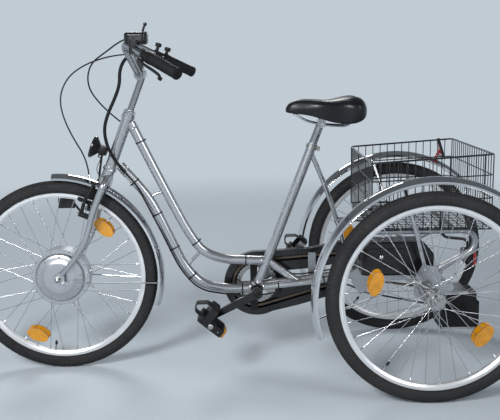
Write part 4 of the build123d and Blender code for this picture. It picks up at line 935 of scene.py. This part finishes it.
headset = Hardware()
headset.turned(steer_point(0, 592.5), STEER_UP, [(0, 19.2), (1, 20.4), (8, 20.4), (9, 19.6)], 32)
headset.hexagon(steer_point(0, 602), STEER_UP, 8.5, 21.2)
headset.turned(steer_point(0, 398.5), STEER_UP, [(0, 21.5), (2, 22.6), (5, 22.6), (6, 22.2)], 32)
headset.made("headset_nuts", CHROME, "steering", False)
stem_bolt = Hardware().screw(steer_point(0, 733.5), STEER_UP, 6.8, 4)
stem_bolt.made("stem_bolt", ZINC, "steering", False)

behind = Vector((-SEAT_UP.z, 0, SEAT_UP.x))
collar = SEAT_TOP - SEAT_UP * 0.012
seat_clamp = Hardware().turned(collar, SEAT_UP, [(-8, 17.8), (-7.5, 18.6), (7.5, 18.6), (8, 17.8)], 36)
for side in (1, -1):
    ear = collar + behind * 0.022 + ACROSS * side * 0.005
    seat_clamp.block(ear, (12, 6, 14), 1, (behind, ACROSS, SEAT_UP))
seat_clamp.screw(collar + behind * 0.023 + ACROSS * 0.008, ACROSS, 4.8, 3.5)
seat_clamp.hexagon(collar + behind * 0.023 - ACROSS * 0.008, -ACROSS, 4, 5)
seat_clamp.made("seat_clamp", ZINC, "frame", False)

DRUM = [(-24.5, 8.5), (-23.5, 12), (-15, 13.2), (15, 13.2), (23.5, 12), (24.5, 8.5)]
saddle_clamp = Hardware().turned(mm(-289, 0, 828), ACROSS, DRUM, 32)
for side in (1, -1):
    saddle_clamp.hexagon(mm(-289, side * 24.3, 828), ACROSS * side, 5, 7.8)
saddle_clamp.made("saddle_clamp", CHROME, "frame")

# -------- weld beads


def bead(collector, centre, way, radius):
    """Weld bead round the end of a tube."""
    outline = [(-3.4, 0), (-2, 1.2), (0, 1.8), (2, 1.2), (3.4, 0)]
    collector.turned(centre, way, [(along, radius + rise) for along, rise in outline], 36)


welds = Hardware()
for route, start in ((UPPER, 0.021), (LOWER, 0.023)):
    way = (route[1] - route[0]).normalized()
    bead(welds, route[0] + way * start, way, TUBE)
bead(welds, BRACKET + SEAT_UP * 0.0215, SEAT_UP, TUBE)
way = (LOWER[5] - BRACKET).normalized()
bead(welds, BRACKET + way * 0.0225, way, TUBE)
way = (UPPER[5] - UPPER[6]).normalized()
bead(welds, UPPER[6] + way * 0.018, way, TUBE)
for y in (24, -24):
    start, end = mm(-68, y, 280), mm(-214, y, 293)
    bead(welds, start.lerp(end, 0.15), end - start, STAY_TUBE)
welds.made("frame_welds", SILVER, "frame")

# -------- cable ties


def crossing(route, centre, way):
    """Where a route passes through the plane square to a tube."""
    for low, high in zip(route, route[1:]):
        a, b = (low - centre).dot(way), (high - centre).dot(way)
        if a * b <= 0 and a != b:
            return low.lerp(high, a / (a - b))
    return None


def add_tie(collector, centre, way, radius, cable, cable_radius):
    """Cable tie drawn round a tube and the cable beside it."""
    offset = cable - centre
    reach = offset.length
    a = offset / reach
    b = way.cross(a)
    slack = 0.6
    big, small = (radius + slack) * 0.001, (cable_radius + slack) * 0.001
    half = math.acos(max(-1, min(1, (big - small) / reach)))
    loop = []
    for k in range(21):
        t = half + (2 * pi - 2 * half) * k / 20
        loop.append((a * cos(t) + b * sin(t)) * big)
    for k in range(9):
        t = -half + 2 * half * k / 8
        loop.append(offset + (a * cos(t) + b * sin(t)) * small)
    collector.faces += skin(len(collector.vertices), len(loop), 4)
    for along, rise in ((-2.2, 0), (-1.8, 0.5), (1.8, 0.5), (2.2, 0)):
        collector.vertices += [centre + p + (p.normalized() * rise + way * along) * 0.001 for p in loop]
    out = a * cos(half + 0.5) + b * sin(half + 0.5)
    collector.block(centre + out * (big + 0.0018), (5.2, 4.2, 5.5), 0.6, (way.cross(out), out, way))


ties = Hardware()
for route, radius, cable, cable_radius, places in (
    (UPPER, TUBE, GEAR_LINE, GEAR_CABLE, (0, 3, 5)),
    (LOWER, TUBE, POWER_LINE, POWER_CABLE, (0, 1, 2, 3, 5)),
    (STAY, STAY_TUBE, POWER_LINE, POWER_CABLE, (0, 1)),
):
    for k in places:
        centre = (route[k] + route[k + 1]) / 2
        way = (route[k + 1] - route[k]).normalized()
        near = crossing(cable, centre, way)
        if near is not None:
            add_tie(ties, centre, way, radius, near, cable_radius)
ties.made("cable_ties", CABLE, "frame")

# -------- headlamp, tail lamp and rear reflector

LAMP_CENTRE = mm(463, 0, 763)
LAMP_AXIS, LAMP_UP = Vector((0.9285, 0, 0.3714)), Vector((-0.3714, 0, 0.9285))
LAMP_WAYS = (LAMP_AXIS, ACROSS, LAMP_UP)
LAMP_FOOT = LAMP_CENTRE - LAMP_AXIS * 0.028 - LAMP_UP * 0.020
LAMP_SHELL = [
    (-44.5, 12.5), (-44, 14.5), (-18, 15.5), (-15, 17.5), (-8, 26.5), (-1, 34), (3, 36.8), (5.5, 36.8),
]
LAMP_BEZEL = [(1, 37.2), (1.5, 38.5), (6, 38.5), (8.5, 37.2), (9, 35.2), (6.2, 34.5)]
LAMP_GLASS = [(5.6, 34.8), (8.2, 33.5), (10.8, 28), (12.8, 19), (13.8, 9), (14, 0.6)]
LAMP_ARM = line_of((450.7, 0, 658), (450.5, 0, 676), (444, 0, 712), (441, 0, 735))
LAMP_LEAD = [(441, 9, 727), (447, 12, 716), (457, 13, 696), (456, 12, 678), (446, 9, 668), (437, 9, 664)]

shell = Hardware().turned(LAMP_CENTRE, LAMP_AXIS, LAMP_SHELL, 48)
shell.block(LAMP_CENTRE - LAMP_AXIS * 0.030, (24, 34, 29), 4, LAMP_WAYS)
shell.block(LAMP_FOOT, (15, 18, 13), 2, LAMP_WAYS)
for low, high in zip(LAMP_ARM, LAMP_ARM[1:]):
    way = (high - low).normalized()
    size = ((high - low).length * 1000 + 3, 18, 5.5)
    shell.block((low + high) / 2, size, 1, (way, ACROSS, way.cross(ACROSS)))
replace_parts(shell.made("headlamp_shell", MATTE, "steering"), "headlamp")
smooth_tube("headlamp_lead", LAMP_LEAD, 1.1, CABLE, "steering", 8)
bezel = Hardware().turned(LAMP_CENTRE, LAMP_AXIS, LAMP_BEZEL, 48)
bezel.made("headlamp_bezel", GLOSS, "steering")
glass = Hardware().turned(LAMP_CENTRE, LAMP_AXIS, LAMP_GLASS, 48)
glass.made("headlamp_glass", LENS, "steering")
lamp_screws = Hardware()
for side in (1, -1):
    lamp_screws.screw(LAMP_FOOT + ACROSS * side * 0.009, ACROSS * side, 4.5, 3)
lamp_screws.made("headlamp_screws", ZINC, "steering", False)

lens = Hardware().block(mm(-796.5, 0, 372), (16.5, 84.5, 46.5), 6.5)
for y in (-30, -15, 0, 15, 30):
    lens.block(mm(-804.8, y, 372), (1.6, 1.8, 34), 0.4)
lens.made("tail_lamp_lens", RED, "frame")

REFLECTOR = mm(-760.3, -341, 695.6)
REFLECTOR_OUT, REFLECTOR_UP = Vector((-0.98058, 0, 0.19612)), Vector((0.19612, 0, 0.98058))
corners = []
for t in (0, 2 * pi / 3, 4 * pi / 3):
    corners.append(REFLECTOR + (ACROSS * sin(t) + REFLECTOR_UP * cos(t)) * 0.0445)
trim = Hardware()
for k, start in enumerate(corners):
    end = corners[(k + 1) % 3]
    way = (end - start).normalized()
    size = ((end - start).length * 1000, 5.2, 10)
    middle = (start + end) / 2 + REFLECTOR_OUT * 0.0045
    trim.block(middle, size, 1.2, (way, REFLECTOR_OUT.cross(way), REFLECTOR_OUT))
trim.made("rear_reflector_frame", MATTE, "frame")

# -------- battery and controller

box_low, box_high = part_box("battery")
seam_middle = (Vector(box_low) + Vector(box_high)).x / 2 - 0.002
seam = Hardware().block(Vector((seam_middle, 0.1721, 0.443)), (214, 1.2, 1.6), 0.4)
seam.block(Vector((seam_middle, 0.1721, 0.4395)), (214, 0.9, 0.8), 0.3)
seam.made("battery_seam", MATTE, "frame", slot="gloss_black")
LOCK = [(0, 6.2), (1.2, 6.2), (1.6, 5.2), (1.2, 4.6), (0.8, 1)]
lock = Hardware().turned(mm(-462, 182.5, 417.1), ACROSS, LOCK, 24)
lock.made("battery_lock", CHROME, "frame", False)
edges = Hardware()
edges.block(mm(-693.5, 200.6, 302.5), (83, 1.2, 7), 0.4)
edges.block(mm(-712, 200.6, 185.5), (120, 1.2, 7), 0.4)
edges.block(mm(-693.5, 148, 306.6), (83, 104, 1.2), 0.4)
edges.made("controller_edges", PLATE, "frame", False)
screws = Hardware()
for x, z in ((-658, 302.5), (-729, 302.5), (-658, 185.5), (-766, 185.5)):
    screws.screw(mm(x, 201.1, z), ACROSS, 2.8, 1.8)
screws.made("controller_screws", ZINC, "frame", False)

# -------- mudguard edges, rivets and stay bolts


def round_hub(body, radius, degrees, y):
    """A point at an angle round a wheel's axle."""
    t = radians(degrees)
    return HUBS[body] + mm(radius * cos(t), y, radius * sin(t))


EDGE_STEPS, EDGE_START, EDGE_END = 64, -18.4, 141.8
rolled = []
for body in ("rear_wheel_left", "rear_wheel_right"):
    for y in (26.8, -26.8):
        turns = [EDGE_START + (EDGE_END - EDGE_START) * k / EDGE_STEPS for k in range(EDGE_STEPS + 1)]
        rolled.append([round_hub(body, 350.2, turn, y) for turn in turns])
add_wires("rear_mudguard_edges", rolled, 1.3, CHROME)

stay_bolts = Hardware()
for side, body in ((1, "rear_wheel_left"), (-1, "rear_wheel_right")):
    for x, z in ((-566, 350), (-640, 380), (-592, 388)):
        stay_bolts.hexagon(mm(x, side * 227.5, z), ACROSS * side, 3.5, 5.5)
    for turn in (-11, 75, 140):
        stay_bolts.screw(round_hub(body, 353.5, turn, -side * 27.5), ACROSS * -side, 3.8, 2.2)
stay_bolts.made("stay_bolts", ZINC, "frame", False)

# -------- wheel hardware

MOTOR_COVER = [
    (36.1, 78.6), (37.8, 78), (39.2, 74.5), (40.4, 69), (41.2, 61),
    (42.1, 59), (44, 55), (45, 50), (45.4, 40), (45.6, 19),
]
COVER_SCREWS = 9
axle_caps, covers, cover_screws = Hardware(), Hardware(), Hardware()
for side in (1, -1):
    out = ACROSS * side
    axle_caps.turned(HUBS["front_wheel"] + out * 0.0718, out, [(0, 8.5), (4, 7.8), (6, 5), (6.5, 0.5)], 24)
    covers.turned(HUBS["front_wheel"], out, MOTOR_COVER, 96)
    for k in range(COVER_SCREWS):
        t = 2 * pi * k / COVER_SCREWS + 0.2
        place = HUBS["front_wheel"] + mm(71.5 * cos(t), side * 39.6, 71.5 * sin(t))
        cover_screws.screw(place, out, 3.4, 1.8)
axle_caps.made("front_axle_caps", ZINC, "steering")
covers.made("motor_covers", MOTOR, "front_wheel")
cover_screws.made("motor_screws", ZINC, "front_wheel", False)

# -------- brake pads, noodle and bolts

PAD = mm(495.2, 0, 584)
NOODLE = [(478, 34, 675), (476, 40, 662), (475, 42, 651), (474, 36, 646), (473.5, 26, 645)]
BRAKE_WIRE = [(473.5, 26, 645), (473, 0, 644), (473, -40, 643)]
BOOT = [(0, 3), (2, 4.2), (6, 3.4), (10, 4.2), (14, 3.4), (18, 3.8), (22, 2)]
outward = (PAD - HUBS["front_wheel"]).normalized()
pads, brake_bolts = Hardware(), Hardware()
for side in (1, -1):
    out = ACROSS * side
    pads.block(PAD + out * 0.0192, (62, 8.5, 10.5), 1.6, (outward.cross(ACROSS), out, outward))
    brake_bolts.hexagon(PAD + out * 0.052 + STEER_FORWARD * 0.003, out, 4, 5.5)
    brake_bolts.screw(steer_point(40.5, 238, side * 57), STEER_FORWARD, 5.2, 3.5)
pads.made("brake_pads", RUBBER, "steering")
brake_bolts.made("brake_bolts", ZINC, "steering", False)
smooth_tube("brake_noodle", NOODLE, 2.4, CHROME, "steering", 8)
smooth_tube("brake_wire", BRAKE_WIRE, 0.8, ZINC, "steering", 4)
boot = Hardware().turned(mm(473.5, 25, 645), -ACROSS, BOOT, 16)
boot.made("brake_boot", RUBBER, "steering")

# -------- pedals, cranks and bottom bracket

PEDAL_TILT = radians(40)
PEDAL_EYES = {"left": mm(83.5, 145.3, 198.8), "right": mm(-219.5, -145.3, 353.2)}
pedal_ahead = Vector((cos(PEDAL_TILT), 0, sin(PEDAL_TILT)))
pedal_up = Vector((-sin(PEDAL_TILT), 0, cos(PEDAL_TILT)))
for side, name in ((1, "left"), (-1, "right")):
    eye, out = PEDAL_EYES[name], ACROSS * side
    lenses = Hardware().block(eye - pedal_ahead * 0.0505, (9.5, 60, 26), 2, (pedal_ahead, ACROSS, pedal_up))
    lenses.made(f"{name}_pedal_reflector", AMBER, f"pedal_{name}")
    caps = Hardware().turned(eye + out * 0.0455, out, [(0, 8.8), (2, 8.8), (3.2, 7), (3.5, 0.5)], 20)
    for shift in (0.030, -0.030):
        caps.screw(eye + pedal_ahead * shift + out * 0.0452, out, 2.8, 1.8)
    caps.made(f"{name}_pedal_caps", ZINC, f"pedal_{name}", False)

CUP = [(0, 20.8), (2.5, 20.8), (3.5, 19.5), (4.5, 14), (4.5, 9.5)]
crank_caps, cups = Hardware(), Hardware()
for side in (1, -1):
    out = ACROSS * side
    crank_caps.turned(BRACKET + out * 0.0912, out, [(0, 11.5), (1.6, 11.5), (2.8, 9.5), (3, 0.5)], 28)
    cups.turned(BRACKET + out * 0.0335, out, CUP, 32)
crank_caps.made("crank_caps", MATTE, "crank")
cups.made("bracket_cups", GLOSS, "frame")

# -------- cables by the steering: the brake cable turns with it, the others stay fixed

GEAR_ROUTE = [
    (318, 116, 1110), (349, 92, 1102), (398, 82, 1068), (444, 62, 1040), (466, 44, 998), (466, 22, 952),
    (441, 0, 909), (411, -18, 874), (380, -26, 845), (350, -25, 824), (326, -18.8, 806), (311.5, -18.8, 780),
]
CONDUIT_ROUTE = [
    (325, 79, 1055), (343, 60, 1046), (360, 57, 1010), (361, 55, 968), (380, 52, 922), (405, 50, 874),
    (420, 48, 826), (415, 45, 778), (400, 39, 738), (381, 27, 704), (362, 21.8, 678.6),
]
BRAKE_ROUTE = [
    (275.4, -204.5, 1045.7), (318, -165, 1061), (374, -126, 1065), (436, -95, 1054), (498, -73, 1031),
    (548, -60, 996), (574, -47, 948), (577, -34, 900), (560, -20, 845), (532, -8, 790), (500, 4, 740),
    (482, 26, 696), (474.7, 41, 649.5),
]
gear_loop = smooth_tube("gear_cable_bend", GEAR_ROUTE, 2.5, CABLE)
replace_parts(gear_loop, "gear_cable_loop")
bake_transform(gear_loop)
brake_line = smooth_tube("front_brake_cable_bend", BRAKE_ROUTE, 2.5, CABLE, "steering")
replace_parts(brake_line, "front_brake_cable")
conduit = smooth_tube("wiring_conduit_bend", CONDUIT_ROUTE, 5.5, CABLE)
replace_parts(conduit, "wiring_conduit")
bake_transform(conduit)
